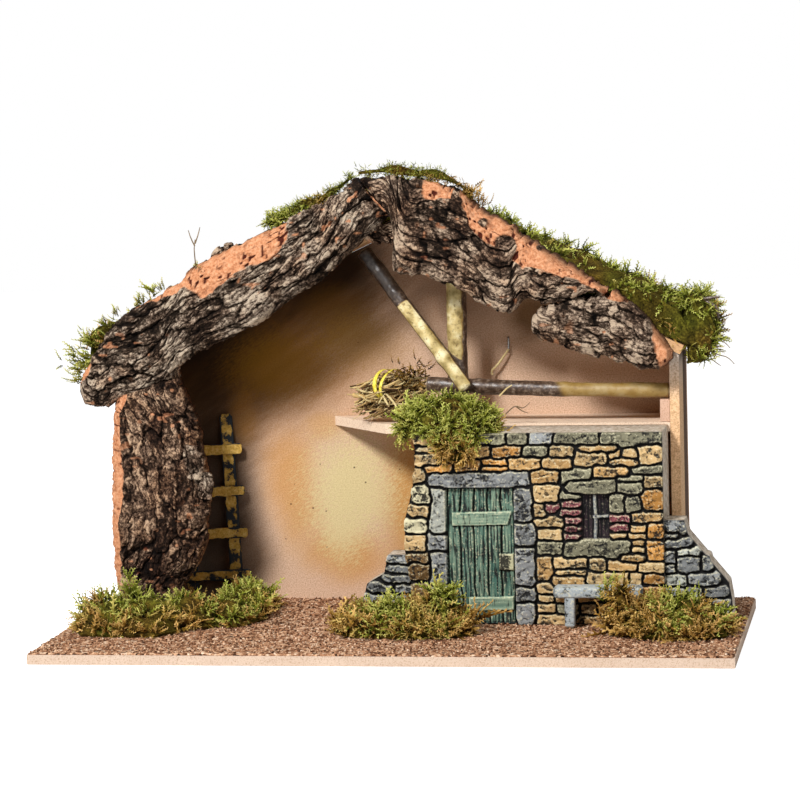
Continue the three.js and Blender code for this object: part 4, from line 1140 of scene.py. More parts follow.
def bark_relief(along, across, seed, long, rings):
    """Height in millimetres, about -5 to 3, how deep in a crack, and a tone for each plate.

    Long is the length of a large plate, and rings from 0 to 1 curls the layers round it."""
    flat = sheet(along, across, 5.0 * seed)
    a = along + 5.0 * rough(flat, 18, seed + 2) + 1.5 * noise(flat, 3.5, seed + 3)
    c = across + 4.0 * rough(flat, 15, seed + 4) + 1.1 * noise(flat, 3, seed + 5)
    border, offset, chance = plates(a, c, (long, 11.0), seed + 6)
    small_border, small_offset, small_chance = plates(a, c, (5 + 0.2 * long, 3.9), seed + 7)
    open_here = ease(-0.35, 0.3, rough(flat, 19, seed + 11))
    large = 1 - (1 - ease(0, 0.16, border)) * (0.35 + 0.65 * open_here)
    small = 1 - (1 - ease(0, 0.22, small_border)) * (0.3 + 0.7 * small_chance[1])
    tilt = (chance[0] - 0.5) * offset[0] * 0.2 + (chance[1] - 0.5) * offset[1] * 0.5
    small_tilt = (small_chance[0] - 0.5) * small_offset[0] * 0.4 \
        + (small_chance[1] - 0.5) * small_offset[1] * 0.8
    reach = np.hypot(offset[0], offset[1] * 1.25)
    layers = c * (1 - rings) + reach * rings
    pages = noise(np.stack([layers, a * 0.12, flat[..., 1]], axis=-1), 1.15, seed + 9)
    split = np.abs(noise(np.stack([a * 0.3, c, flat[..., 1]], axis=-1), 3.2, seed + 12))
    furrow = ease(0, 0.22, split)
    grit = rough(flat, 2.1, seed + 13, 2)
    body = 2.3 * large + 1.0 * small + tilt + small_tilt + 1.2 * (chance[2] - 0.5) \
        + (small_chance[2] - 0.5) + 2.2 * rough(flat, 22, seed + 10)
    layer = body / LAYER_MM + 0.6 * noise(flat, 8, seed + 14)
    part = layer - np.floor(layer)
    stepped = body + LAYER_MM * (ease(0.55, 1.0, part) - part)
    height = stepped + 0.8 * furrow + 0.4 * pages + 0.75 * grit
    riser = ease(0.5, 0.62, part) * ease(1.0, 0.85, part)
    # Deep is high in the cracks, on the layers' risers and in low places: the finish paints it
    # darker, as the fissures' own colour and as painted shade
    deep = 1.1 - (0.4 * large + 0.2 * small + 0.16 * furrow + 0.14 * (0.5 + 0.5 * pages)
                  + 0.1 * (0.5 + 0.5 * grit) + 0.1 * (1 - riser))
    tone = 0.45 * chance[2] + 0.55 * small_chance[2]
    return height - 3.3, deep, tone


def cork_relief(along, across, seed):
    """Sawn cork: nearly flat, with pits 2 to 4 mm long; height and how deep in a pit."""
    place = sheet(along, across, 9.0 * seed)
    pits = ease(0.38, 0.58, noise(place, (2.0, 1e3, 3.4), seed + 20)) \
        * ease(-0.3, 0.4, noise(place, 13, seed + 21))
    crumbly = rough(place, 7, seed + 22) + 0.45 * noise(place, 1.6, seed + 23)
    crack = ease(0.09, 0.0, np.abs(noise(place, (9, 1e3, 4), seed + 24))) \
        * ease(0, 0.4, noise(place, 11, seed + 25))
    pits = np.maximum(pits, crack)
    # The second value also darkens the cork's low places: painted shade
    return 1.3 * crumbly - 1.7 * pits, np.maximum(pits, 0.45 * ease(0.1, -0.7, crumbly))


sample = np.linspace(0, 60, 400)[:, None]
print("relief:", bark_relief(sample, sample * 0.3, 2, 24, 0.2)[0].round(1)[::80, 0])

# %% [markdown]
# One finish serves all the bark. Crack depth takes grey down to near black, like soot: the
# fissures' own dark colour, and painted shade in them. Each plate has its own tone, a slow noise
# shifts areas to brown, and crumbs 2.2 mm wide keep any area from being one colour. The cork
# attribute blends in the orange broken faces.

# %% Cork bark
def cork_bark():
    """Virgin cork bark: weathered grey outside, orange where it is broken."""
    material, tree, shader, where = start_material("virgin_cork_bark", Roughness=0.85,
                                                   Specular_IOR_Level=0.08)
    deep, cork, warm, tone = (attribute(tree, name) for name in ("deep", "cork", "warm", "tone"))
    crumbs = noise_of(tree, where, 2.2, 6.0, 0.75)
    patches = noise_of(tree, where, 20, 4.0)
    level = sum_of(tree, deep, scaled(tree, crumbs, -1.7, 0.88), scaled(tree, tone, -0.45, 0.2),
                   scaled(tree, patches, 0.9, -0.45))
    grey = ramp(tree, level, (0.0, "#b5a48f"), (0.14, "#7f6f61"), (0.3, "#4a3d32"),
                (0.48, "#201811"), (0.85, "#070504"))
    brown = ramp(tree, level, (0.0, "#b98a60"), (0.14, "#7f5a3e"), (0.3, "#482f22"),
                 (0.48, "#21140e"), (0.85, "#080403"))
    patch = between(tree, patches, 0.45, 0.7, 0.0, 0.45)
    bark = blend(tree, calculate(tree, "ADD", patch, warm, use_clamp=True), grey, brown)
    orange = ramp(tree, noise_of(tree, where, 2.4, 5.0, 0.7),
                  (0.3, "#8f5236"), (0.46, "#c1835c"), (0.68, "#dba580"))
    pitted = blend(tree, between(tree, deep, 0.25, 0.75), orange, "#4a2016")
    paint_and_bump(tree, shader, blend(tree, cork, bark, pitted), crumbs, 0.8, 0.7)
    return material


bark_finish = cork_bark()

# %% [markdown]
# The slab itself. The front face takes most of the points, because the fissures are there. The
# thickness swells to the middle of the slab, and near both long edges the relief also moves the
# points within the slab's plane, so the outline is as ragged as the face.

# %% One slab of bark
FRONT_SHARE = 0.76
# Middle X and Z and half width of the places darkened by soot
CHARRED = [(21, 306, 17), (33, 283, 17), (54, 287, 12), (3, 325, 12), (76, 265, 10), (119, 243, 9),
           (146, 231, 8), (-188, 234, 19), (-212, 221, 16), (-137, 275, 12), (-72, 308, 11),
           (-196, 50, 20), (-30, 329, 9)]


def charred(place):
    """How much soot is on the bark there: 1 in the middle of a charred place, ragged at its rim."""
    ragged = 0.5 * rough(place, 7, 77)
    return np.maximum.reduce([
        ease(1.15, 0.5, np.hypot(place[..., 0] - x, place[..., 2] - z) / half + ragged)
        for x, z, half in CHARRED])


def bark_slab(name, node, edges, thick, back_y, relief_args, cork_at, warm, around=200,
              soot=0.0):
    """Ring of points per station: front from the first edge to the second, then the back.

    Soot darkens it all. A scrap that has no CAD node of its own gives None for the node."""
    first, second = edges
    stations = len(first)
    w = np.linspace(0, 1, around, endpoint=False)
    v = np.clip(np.where(w < FRONT_SHARE, w / FRONT_SHARE, (1 - w) / (1 - FRONT_SHARE)), 0, 1)
    front = np.where(w < FRONT_SHARE, 1.0, 0.0)
    along = length_along((first + second) / 2)[:, None] + np.zeros(around)
    share = along / along.max()
    width = np.linalg.norm(second - first, axis=1)[:, None]
    face = first[:, None] + (second - first)[:, None] * v[:, None]
    x, z = face[..., 0], face[..., 1]
    height, deep, tone = bark_relief(along, v * width, *relief_args)
    smooth_height, pits = cork_relief(along, v * width, relief_args[0])
    place = sheet(x, z)
    cork = cork_at(x + 3.5 * rough(place, 10, relief_args[0] + 34),
                   z + 2.0 * rough(place, 8, relief_args[0] + 35), share, v) * front
    fleck = ease(0.66, 0.78, noise(place, (5, 1, 3), relief_args[0] + 30)) * 0.75 \
        * ease(-0.2, 0.3, noise(place, 26, relief_args[0] + 32))
    broken = ease(-0.2, 0.2, cork - 0.5 + 0.5 * rough(place, 7, relief_args[0] + 31)) * (cork > 0)
    height = height * (1 - broken) + (smooth_height - 1.4) * broken
    plump = np.maximum(1 - np.abs(2 * v - 1) ** 3.2, 0) ** 0.5
    ends = ease(0, 0.025, share) * ease(0, 0.025, 1 - share)
    body = thick * (0.38 + 0.42 * plump) * (0.55 + 0.45 * ends)
    rim = np.abs(2 * v - 1) ** 6
    ragged = np.clip(height, -3, 1.5) + 1.7 * rough(place, 8, relief_args[0] + 33)
    within = np.where(v > 0.5, 1.0, -1.0) * rim * ragged
    toward = (second - first)[:, None] / width[..., None]
    points = np.stack([
        x + toward[..., 0] * within,
        back_y - front * np.clip(body + height * (0.6 + 0.4 * ends), 2, thick + 2),
        z + toward[..., 1] * within,
    ], axis=-1)
    back = 1 - front
    # Deep brings the painted shade of the cracks into this, along with the soot
    soot_and_crack_shade = deep + soot + 0.19 * charred(place)
    attributes = {
        "deep": (soot_and_crack_shade * (1 - broken) + pits * broken) * front + 0.42 * back,
        "cork": np.maximum(broken, fleck * front + 0.15 * back),
        "warm": warm + 0.5 * back + 0 * x,
        "tone": tone,
    }
    index = np.arange(stations * around).reshape(stations, around)
    faces = [grid_quads(stations, around, wrap=True), fan(index[0], stations * around, True),
             fan(index[-1], stations * around + 1)]
    hubs = points[[0, -1]].mean(axis=1)
    flat = {key: np.concatenate([values.ravel(), [0.45, 0.45]])
            for key, values in attributes.items()}
    slab = new_piece(name, np.concatenate([points.reshape(-1, 3), hubs]), faces, bark_finish,
                     "cork_bark", **flat)
    if node:
        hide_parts(node)

# %% [markdown]
# The orange patches are kept as the height at which bark turns to cork, for each X.

# %% Slabs along the roof
LEFT_CORK_EDGE = [(-206, 262), (-201, 242), (-176, 250), (-160, 256), (-149, 249), (-115, 271),
                  (-96, 276), (-84, 290), (-81, 330)]
RIGHT_CORK_EDGE = [(18, 340), (22, 318), (40, 317), (42, 332), (47, 318), (56, 293), (70, 282),
                   (92, 268), (110, 264), (132, 258), (149, 245), (164, 241), (178, 237),
                   (186, 236)]
SOOT_X, SOOT_Z, SOOT_MM = 78, 281, 11
# Dark crust left on the band: middle X and Z, half length
CRUSTS = [(-168, 266, 11), (-204, 238, 8), (-62, 318, 9), (63, 300, 4), (104, 282, 3)]


def cork_above(profile):
    """1 above a line given by (x, z) corners and 0 below it, with 4 mm between."""
    xs, zs = zip(*profile)

    def share(x, z):
        line = np.interp(x, xs, zs, left=1e3, right=1e3)
        return ease(-2, 2, z - line)

    return share


def crusted(x, z):
    """0 on the dark crusts and 1 elsewhere; a crust is long along the roof slope."""
    keep = np.ones_like(x)
    for crust_x, crust_z, half in CRUSTS:
        along = (x - crust_x) * 0.91 + (z - crust_z) * np.sign(-crust_x) * 0.41
        across = (z - crust_z) * 0.91 - (x - crust_x) * np.sign(-crust_x) * 0.41
        keep = keep * ease(0.6, 1.2, np.hypot(along / half, across / 3.5))
    return keep


def left_cork(x, z, station, v):
    """Band along the top, the thin broken rim at the ridge, and the lower end's edge."""
    rim = 0.75 * ease(0.007, 0.002, station) * ease(0.05, 0.2, v) * ease(0.9, 0.55, v)
    low_end = ease(-234, -240, x) * ease(0.62, 0.8, v)
    return np.maximum.reduce([cork_above(LEFT_CORK_EDGE)(x, z) * crusted(x, z), rim, low_end])


def right_cork(x, z, station, v):
    """Band along the top, less a smear of soot in it."""
    soot = ease(SOOT_MM, SOOT_MM * 0.7, np.hypot(x - SOOT_X, z - SOOT_Z))
    return cork_above(RIGHT_CORK_EDGE)(x, z) * (1 - soot) * crusted(x, z)


def lower_cork(x, z, station, v):
    """Broken outer end, and the tip of the band from the slab above."""
    return np.maximum(ease(184, 190, x + 0.2 * (z - 205)), cork_above(RIGHT_CORK_EDGE)(x, z))


bark_slab("bark_left", "bark_slab_left", roof_edges(LEFT_SLAB, -1, 340), 34, BARK_BACK_Y,
          (3, 42, 0.1), left_cork, 0.0)
bark_slab("bark_right_upper", "bark_slab_right_upper", roof_edges(RIGHT_UPPER_SLAB, 1, 250), 34,
          BARK_BACK_Y, (14, 24, 0.14), right_cork, 0.2)
bark_slab("bark_right_lower", "bark_slab_right_lower", roof_edges(RIGHT_LOWER_SLAB, 1, 170), 34,
          BARK_BACK_Y, (25, 24, 0.14), lower_cork, 0.15, 170)

# %% [markdown]
# The standing slab follows the same rule, turned upright. It is the brown inner side of a
# branch fork: warmer, crumblier, with an orange sawn strip down its left edge.

# %% Standing slab
PILLAR_THICK, PILLAR_BACK_Y = 33, 49.7


def pillar_edges(count):
    """Right and left edge of the standing slab, from the ground up to the roof slab."""
    low, high = node_box("bark_pillar")
    wall = node_box("left_side_wall")[0][0]
    share, left, right = np.array(PILLAR, dtype=float).T
    z = low[2] + share * (high[2] - low[2])
    underside = roof_edges(LEFT_SLAB, -1, 200)[0][::-1]
    edges = []
    for out in (right, left):
        edge = spline(np.stack([wall - out, z], axis=1), count)
        limit = np.interp(edge[:, 0], underside[:, 0], underside[:, 1]) + 3
        edge[:, 1] = np.minimum(edge[:, 1], limit)
        edges.append(edge)
    return edges


def pillar_cork(x, z, station, v):
    """Sawn strip down the left edge, wider at the top."""
    wander = noise(sheet(x, z), 16, 92)
    strip = 0.15 + 0.05 * ease(0.75, 1, station) + 0.06 * wander
    return ease(strip + 0.03, strip - 0.03, 1 - v)


bark_slab("bark_standing", "bark_pillar", pillar_edges(300), PILLAR_THICK, PILLAR_BACK_Y,
          (36, 30, 0.3), pillar_cork, 0.45, soot=0.05)

# %% [markdown]
# The moss is dried sheet moss, glued on in cushions. A cushion is thousands of fronds a few
# millimetres long, so one frond is made once and repeated: a thin three-sided stem with nine
# leaves, 48 triangles. Each copy is turned, sized and coloured by arrays. The fronds stand on
# the CAD solid's own surface, so the cushions stay where the frame has them.

# %% One frond
LEAVES = 9
BOW = 0.42
STEM_RADIUS = 0.04


def frond():
    """Points, triangles and height of one frond, a unit long, standing on the origin.

    The stem bows as the square of its height. Each leaf leaves it at 48 degrees, left and right
    in turn, and is a flat pyramid: two base points, a raised middle and a tip."""
    stem_z = np.array([0.0, 0.35, 0.7, 1.0])
    bow = BOW * stem_z ** 2
    points = [(0, 0, 0)]
    for k in (1, 2):
        for corner in range(3):
            turn = 2 * math.pi * corner / 3
            points.append((STEM_RADIUS * math.cos(turn), bow[k] + STEM_RADIUS * math.sin(turn),
                           stem_z[k]))
    points.append((0, bow[3], 1))
    tris = []
    for c in range(3):
        d = (c + 1) % 3
        tris += [(0, 1 + d, 1 + c), (1 + c, 1 + d, 4 + d), (1 + c, 4 + d, 4 + c),
                 (4 + c, 4 + d, 7)]
    for k in range(LEAVES):
        z = 0.15 + 0.8 * k / (LEAVES - 1)
        side = 1 if k % 2 else -1
        reach = 0.2 * (1 - 0.45 * z)
        y = BOW * z * z
        base = len(points)
        points += [(0, y - 0.02, z - 0.06), (0, y + 0.02, z + 0.09),
                   (side * reach * 0.5, y + 0.06, z + 0.06),
                   (side * reach, y + 0.02, z + reach * 0.9)]
        a, b, c, d = range(base, base + 4)
        leaf = [(a, b, c), (a, c, d), (b, d, c), (a, d, b)]
        tris += leaf if side > 0 else [tri[::-1] for tri in leaf]
    points = np.array(points)
    return points, np.array(tris), points[:, 2]


FROND_POINTS, FROND_TRIS, FROND_HEIGHT = frond()
print("frond:", len(FROND_POINTS), "points,", len(FROND_TRIS), "triangles")

# %% [markdown]
# Copies are set by a frame of three directions each. The long direction leans from the
# surface's normal toward a random one and a little up, because moss reaches for light.

# %% Copy a small shape many times
def frames_along(ahead, draw):
    """Three directions for each copy, at right angles: side, over, and the given one."""
    ahead = units(ahead)
    side = units(np.cross(draw.normal(size=ahead.shape), ahead))
    return np.stack([side, np.cross(ahead, side), ahead], axis=1)


def copies(points, tris, places, frames, scale):
    """One mesh of many copies: each point is place + scale * (x side + y over + z ahead)."""
    scale = np.asarray(scale, dtype=float)
    sized = points[None] * (scale[:, None, None] if scale.ndim == 1 else scale[:, None, :])
    moved = np.einsum("nki,nij->nkj", sized, frames) + places[:, None]
    faces = tris[None] + (np.arange(len(places)) * len(points))[:, None, None]
    return moved.reshape(-1, 3), faces.reshape(-1, tris.shape[1])


def node_triangles(name):
    """Corners of a CAD node's triangles in millimetres, as triangle by corner by axis."""
    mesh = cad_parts[name].data
    mesh.calc_loop_triangles()
    coordinates = np.empty(len(mesh.vertices) * 3)
    mesh.vertices.foreach_get("co", coordinates)
    corners = np.empty(len(mesh.loop_triangles) * 3, dtype=np.int32)
    mesh.loop_triangles.foreach_get("vertices", corners)
    return (coordinates.reshape(-1, 3) / MM)[corners.reshape(-1, 3)]


def node_surface(name, count, draw):
    """Random points on a CAD node, spread evenly by area, with the outward normals there."""
    triangles = node_triangles(name)
    edge_1, edge_2 = triangles[:, 1] - triangles[:, 0], triangles[:, 2] - triangles[:, 0]
    cross = np.cross(edge_1, edge_2)
    area = np.linalg.norm(cross, axis=1)
    chosen = draw.choice(len(area), count, p=area / area.sum())
    r, s = draw.random((2, count))
    r, s = np.where(r + s > 1, 1 - r, r), np.where(r + s > 1, 1 - s, s)
    place = triangles[chosen, 0] + edge_1[chosen] * r[:, None] + edge_2[chosen] * s[:, None]
    return place, cross[chosen] / area[chosen, None]


probe = node_surface("moss_roof_right", 3, np.random.default_rng(0))[0]
print("points on the roof moss:", probe.round().tolist())

# %% [markdown]
# Fresh tips are yellow green, the middle is olive, and what lay under is brown. A slow noise
# decides how brown each frond is, so a cushion has brown and green areas as the real ones do.
# Toward the roots, in the hollows and on the felt the colour goes nearly black: partly dead
# brown, partly painted shade in the depth of the cushion. Between the fronds one sees the felt
# of dead stems, never through the cushion.

# %% Dried moss
def dried_moss():
    """Dried sheet moss: yellow-green tips over olive and brown, quite matt."""
    material, tree, shader, where = start_material("sheet_moss_dried", Roughness=0.85,
                                                   Specular_IOR_Level=0.06)
    shade = scaled(tree, noise_of(tree, where, 1.4), 0.5, -0.25)
    level = sum_of(tree, attribute(tree, "tip"), shade)
    # Low levels, at the roots and on the felt, go nearly black: partly dead brown, partly painted
    # shade
    green = ramp(tree, level, (0.0, "#0d0f03"), (0.2, "#444a13"), (0.46, "#7b8228"),
                 (0.9, "#cbcd6e"))
    brown = ramp(tree, level, (0.0, "#120a04"), (0.2, "#4e3313"), (0.46, "#96712f"),
                 (0.9, "#d8b06c"))
    whole = blend(tree, attribute(tree, "dry"), green, brown)
    tree.links.new(whole, shader.inputs["Base Color"])
    return material


moss_finish = dried_moss()


def finer(points, tris):
    """Each triangle cut in four at the middles of its edges, which neighbours share."""
    edges = np.sort(tris[:, [0, 1, 1, 2, 2, 0]].reshape(-1, 2), axis=1)
    edges, which = np.unique(edges, axis=0, return_inverse=True)
    a, b, c = tris.T
    ab, bc, ca = len(points) + which.reshape(-1, 3).T
    cut = np.stack([a, ab, ca, ab, b, bc, ca, bc, c, ab, bc, ca], axis=1).reshape(-1, 3)
    return np.concatenate([points, points[edges].mean(axis=1)]), cut


def felt(node, seed):
    """Matted dead stems under a cushion: the solid's own shape, cut finer, sunk and roughened."""
    corners = node_triangles(node).reshape(-1, 3).round(3)
    points, which = np.unique(corners, axis=0, return_inverse=True)
    tris = which.reshape(-1, 3)
    tris = tris[(tris != np.roll(tris, 1, axis=1)).all(axis=1)]
    for _ in range(2):
        points, tris = finer(points, tris)
    a, b, c = (points[tris[:, k]] for k in range(3))
    normal = np.zeros_like(points)
    for k in range(3):
        np.add.at(normal, tris[:, k], np.cross(b - a, c - a))
    normal = normal / np.maximum(np.linalg.norm(normal, axis=1, keepdims=True), 1e-9)
    rise = 0.9 * rough(points, 5, seed) + 0.7 * noise(points, 1.7, seed + 1)
    points = points + normal * (rise - FELT_SUNK_MM)[:, None]
    # The felt's dark tone, darker where it sinks, is partly painted shade
    return points, tris, 0.18 + 0.15 * rise


def moss(node, tufts, length, dryness, seed, upward, spread):
    """Cushion of tufts on a CAD node, which it replaces, over a felt of dead stems.

    The fronds of a tuft spread from its root, which lies under the surface, deeper in the
    hollows of a slow noise. Near the ridge they are short. Dryness shifts the mean of the
    brown and green patches."""
    draw = np.random.default_rng(seed)
    place, normal = node_surface(node, tufts, draw)
    low, high = node_box(node)
    size = length * draw.uniform(0.7, 1.25, tufts)
    size = np.where(draw.random(tufts) < 0.04, size * 1.5, size)
    size = size * (0.45 + 0.55 * ease(CROWN_MM, CROWN_MM - 40, place[:, 2]))
    hollow = noise(place, 8, seed + 9) * 0.6 + noise(place, 19, seed + 8) * 0.4
    root = place + normal * (2.4 * hollow - 0.35 * size)[:, None]
    count = tufts * FRONDS_PER_TUFT
    tuft = np.repeat(np.arange(tufts), FRONDS_PER_TUFT)
    sweep = draw.normal(size=(tufts, 3)) * 0.6
    ahead = normal[tuft] + sweep[tuft] + spread * draw.normal(size=(count, 3)) \
        + np.array([0, 0, upward])
    start = root[tuft] + draw.normal(0, 1.3, (count, 3))
    start[:, 2] = np.maximum(start[:, 2], low[2] + 0.5)
    ahead[:, 2] = np.where(place[tuft, 2] < low[2] + 2.5, np.abs(ahead[:, 2]), ahead[:, 2])
    scale = size[tuft] * draw.uniform(0.6, 1.2, count)
    points, faces = copies(FROND_POINTS, FROND_TRIS, start, frames_along(ahead, draw), scale)
    ground = low[2] if low[2] < GROUND_MOSS_BELOW else -1e3
    under, under_faces, under_tip = felt(node, seed + 40)
    points = np.concatenate([points, under])
    points[:, 2] = np.maximum(points[:, 2], ground)
    rise = (place[:, 2] - low[2]) / (high[2] - low[2])
    dry = ease(-0.2, 0.2, rough(place, 20, seed + 5) + dryness - 1.0 * (rise - 0.5))
    dry = np.clip(dry[tuft] + draw.uniform(-0.2, 0.2, count), 0, 1)
    # Tufts whose roots sit deeper in the hollows are darker: painted shade
    tone = (0.16 * hollow)[tuft] + draw.uniform(-0.24, 0.24, count)
    each = len(FROND_POINTS)
    tip = np.concatenate([-0.1 + 0.92 * np.tile(FROND_HEIGHT, count) + np.repeat(tone, each),
                          under_tip])
    dry = np.concatenate([np.repeat(dry, each), 0.5 + 0.4 * noise(under, 14, seed)])
    piece = new_piece(node.replace("moss", "moss_cushion"), points,
                      [faces, under_faces + len(points) - len(under)], moss_finish, "moss",
                      smooth=False, tip=tip, dry=dry)
    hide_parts(node)


FRONDS_PER_TUFT = 9
GROUND_MOSS_BELOW = 20
FELT_SUNK_MM = 1.6
CROWN_MM = 330
# Node, tufts, frond length, dryness, seed, how far the fronds turn up and how far they spread
for cushion in [
    ("moss_roof_right", 400, 9.0, -0.4, 61, 0.2, 1.7),
    ("moss_roof_left", 280, 8.5, -0.1, 62, 0.35, 1.4),
    ("moss_crest_left", 150, 7.5, -0.3, 63, 0.0, 1.3),
    ("moss_crest_right", 140, 7.5, 0.0, 64, 0.0, 1.3),
    ("moss_loft", 300, 9.5, -0.4, 65, 0.0, 1.3),
    ("moss_ground_left", 290, 10.0, 0.05, 66, 0.0, 1.3),
    ("moss_ground_middle", 280, 11.5, -0.05, 67, 0.1, 1.3),
    ("moss_ground_right", 270, 11.0, 0.15, 68, 0.0, 1.3),
]:
    moss(*cushion)

# %% [markdown]
# The ground is cork granules glued to the board, sieved to about 2 mm. Between grains the glue
# layer is a bumpy sheet. On it lie loose grains, each an eight-sided crumb of its own colour.

# %% Granule bed
GRAIN_MM = 2.2
GRAIN_COUNT = 10000
BED_POINTS = (134, 280)


def granule_finish():
    """Cork granules: light tan to dark brown, one colour for each 2.2 mm cell or grain."""
    material, tree, shader, where = start_material("cork_granules_glued", Roughness=0.95)
    chance = attribute(tree, "chance")
    cells = add(tree, "TexVoronoi", {"Vector": where, "Scale": lumps(GRAIN_MM)}).outputs
    cell_chance = add(tree, "SeparateColor", {"Color": cells["Color"]}).outputs["Red"]
    loose = calculate(tree, "GREATER_THAN", chance, 0.0)
    which = add(tree, "Mix", {0: loose, 2: cell_chance, 3: chance}).outputs[0]
    colour = ramp(tree, which, (0.0, "#2e170d"), (0.2, "#80563c"), (0.6, "#c99874"),
                  (0.85, "#e6bd99"), (1.0, "#fbe0c4"))
    shade = ramp(tree, noise_of(tree, where, 0.9), (0.3, "#a89a90"), (0.6, "#ffffff"))
    whole = blend(tree, 1.0, colour, shade, blend_type="MULTIPLY")
    paint_and_bump(tree, shader, whole, cells["Distance"], 0.9, 1.2, invert=True)
    return material


granules = granule_finish()
bed_low, bed_high = node_box("ground_granules")


def granule_bed():
    """Bumpy sheet over the board with ragged edges, closed by short sides and a flat rear."""
    rows, columns = BED_POINTS
    y, x = np.meshgrid(np.linspace(bed_low[1], bed_high[1], rows),
                       np.linspace(bed_low[0], bed_high[0], columns), indexing="ij")
    place = np.stack([x, y, np.zeros_like(x)], axis=-1)
    z = bed_high[2] - 0.35 + 0.45 * noise(place, 2.3, 71) + 0.3 * noise(place, 40, 72)
    edge = inside_box(x, y, bed_low[0], bed_high[0], bed_low[1], bed_high[1])
    ragged = (edge <= 0) * 0.9 * np.abs(noise(place, 3, 73))
    x = x + ragged * np.sign(-x)
    top = np.stack([x, y, z - 0.4 * (edge <= 0)], axis=-1)
    loop = border(rows, columns)
    under = top.reshape(-1, 3)[loop].copy()
    under[:, 2] = bed_low[2]
    total = rows * columns
    ring = np.arange(total, total + len(loop))
    points = np.concatenate([top.reshape(-1, 3), under, [[0, 0, bed_low[2]]]])
    side = np.stack([loop, np.roll(loop, -1), np.roll(ring, -1), ring], axis=1)
    faces = [grid_quads(rows, columns)[:, ::-1], side[:, ::-1], fan(ring, total + len(loop), True)]
    bed = new_piece("granule_bed", points, faces, granules, "cork_granules",
                    chance=np.zeros(len(points)))
    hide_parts("ground_granules")


def loose_grains():
    """Crumbs scattered over the bed, each an octahedron with its corners moved at random."""
    draw = np.random.default_rng(74)
    octahedron = np.array([(1, 0, 0), (-1, 0, 0), (0, 1, 0), (0, -1, 0), (0, 0, 1), (0, 0, -1)])
    tris = np.array([(a, b, c) if (sx * sy * sz > 0) else (a, c, b)
                     for a, sx in ((0, 1), (1, -1)) for b, sy in ((2, 1), (3, -1))
                     for c, sz in ((4, 1), (5, -1))])
    place = np.stack([draw.uniform(bed_low[0] + 1, bed_high[0] - 1, GRAIN_COUNT),
                      draw.uniform(bed_low[1] + 1, bed_high[1] - 1, GRAIN_COUNT),
                      bed_high[2] + draw.uniform(-0.2, 0.35, GRAIN_COUNT)], axis=1)
    frames = frames_along(draw.normal(size=place.shape), draw)
    scale = GRAIN_MM / 2 * draw.uniform(0.45, 1.15, (GRAIN_COUNT, 3))
    points, faces = copies(octahedron, tris, place, frames, scale)
    chance = np.repeat(draw.uniform(0.05, 1.0, GRAIN_COUNT), 6)
    new_piece("granules_loose", points, [faces], granules, "cork_granules", smooth=False,
              chance=chance)


granule_bed()
loose_grains()

# %% [markdown]
# Sticks, slats, the bench and every straw are one kind of shape: a section carried along a
# path. The section is a superellipse, where |x/a|^n + |y/b|^n = 1: n = 2 is round, n = 7 a slat
# with soft corners. The path's ends shrink over a short length, so they look worn.

# %% Carry a section along a path
def carried(path, side, over, half_side, half_over, power=2.0, around=24, worn=0.0):
    """Rings of points round a path. Half sizes may change along it."""
    path = np.asarray(path, dtype=float)
    turn = np.linspace(0, 2 * np.pi, around, endpoint=False)
    cosine, sine = np.cos(turn), np.sin(turn)
    section = np.stack([np.sign(cosine) * np.abs(cosine) ** (2 / power),
                        np.sign(sine) * np.abs(sine) ** (2 / power)], axis=1)
    shrink = np.ones(len(path))
    if worn > 0:
        along = length_along(path)
        to_end = np.minimum(along, along[-1] - along)
        shrink = 1 - (1 - np.clip(to_end / worn, 0, 1)) ** 2 * 0.45
    a = np.broadcast_to(half_side, len(path)) * shrink
    b = np.broadcast_to(half_over, len(path)) * shrink
    return path[:, None] + section[None, :, :1] * a[:, None, None] * np.asarray(side) \
        + section[None, :, 1:] * b[:, None, None] * np.asarray(over)


def closed_rings(rings, start=0):
    """Points and faces of a tube of rings with a fan at each end."""
    count, around = rings.shape[:2]
    index = np.arange(count * around).reshape(count, around) + start
    hubs = rings[[0, -1]].mean(axis=1)
    points = np.concatenate([rings.reshape(-1, 3), hubs])
    hub = start + count * around
    faces = [grid_quads(count, around, start, wrap=True), fan(index[0], hub, True),
             fan(index[-1], hub + 1)]
    return points, faces

# %% [markdown]
# The sticks are hazel. The bark is thin, dark brown and faintly glossy, with pale pores. Where
# it was peeled the wood is cream to olive, with fine marks. Each stick says where it is peeled,
# along its length and round it. The brace also carries a painted shadow of the roof on its
# upper end.

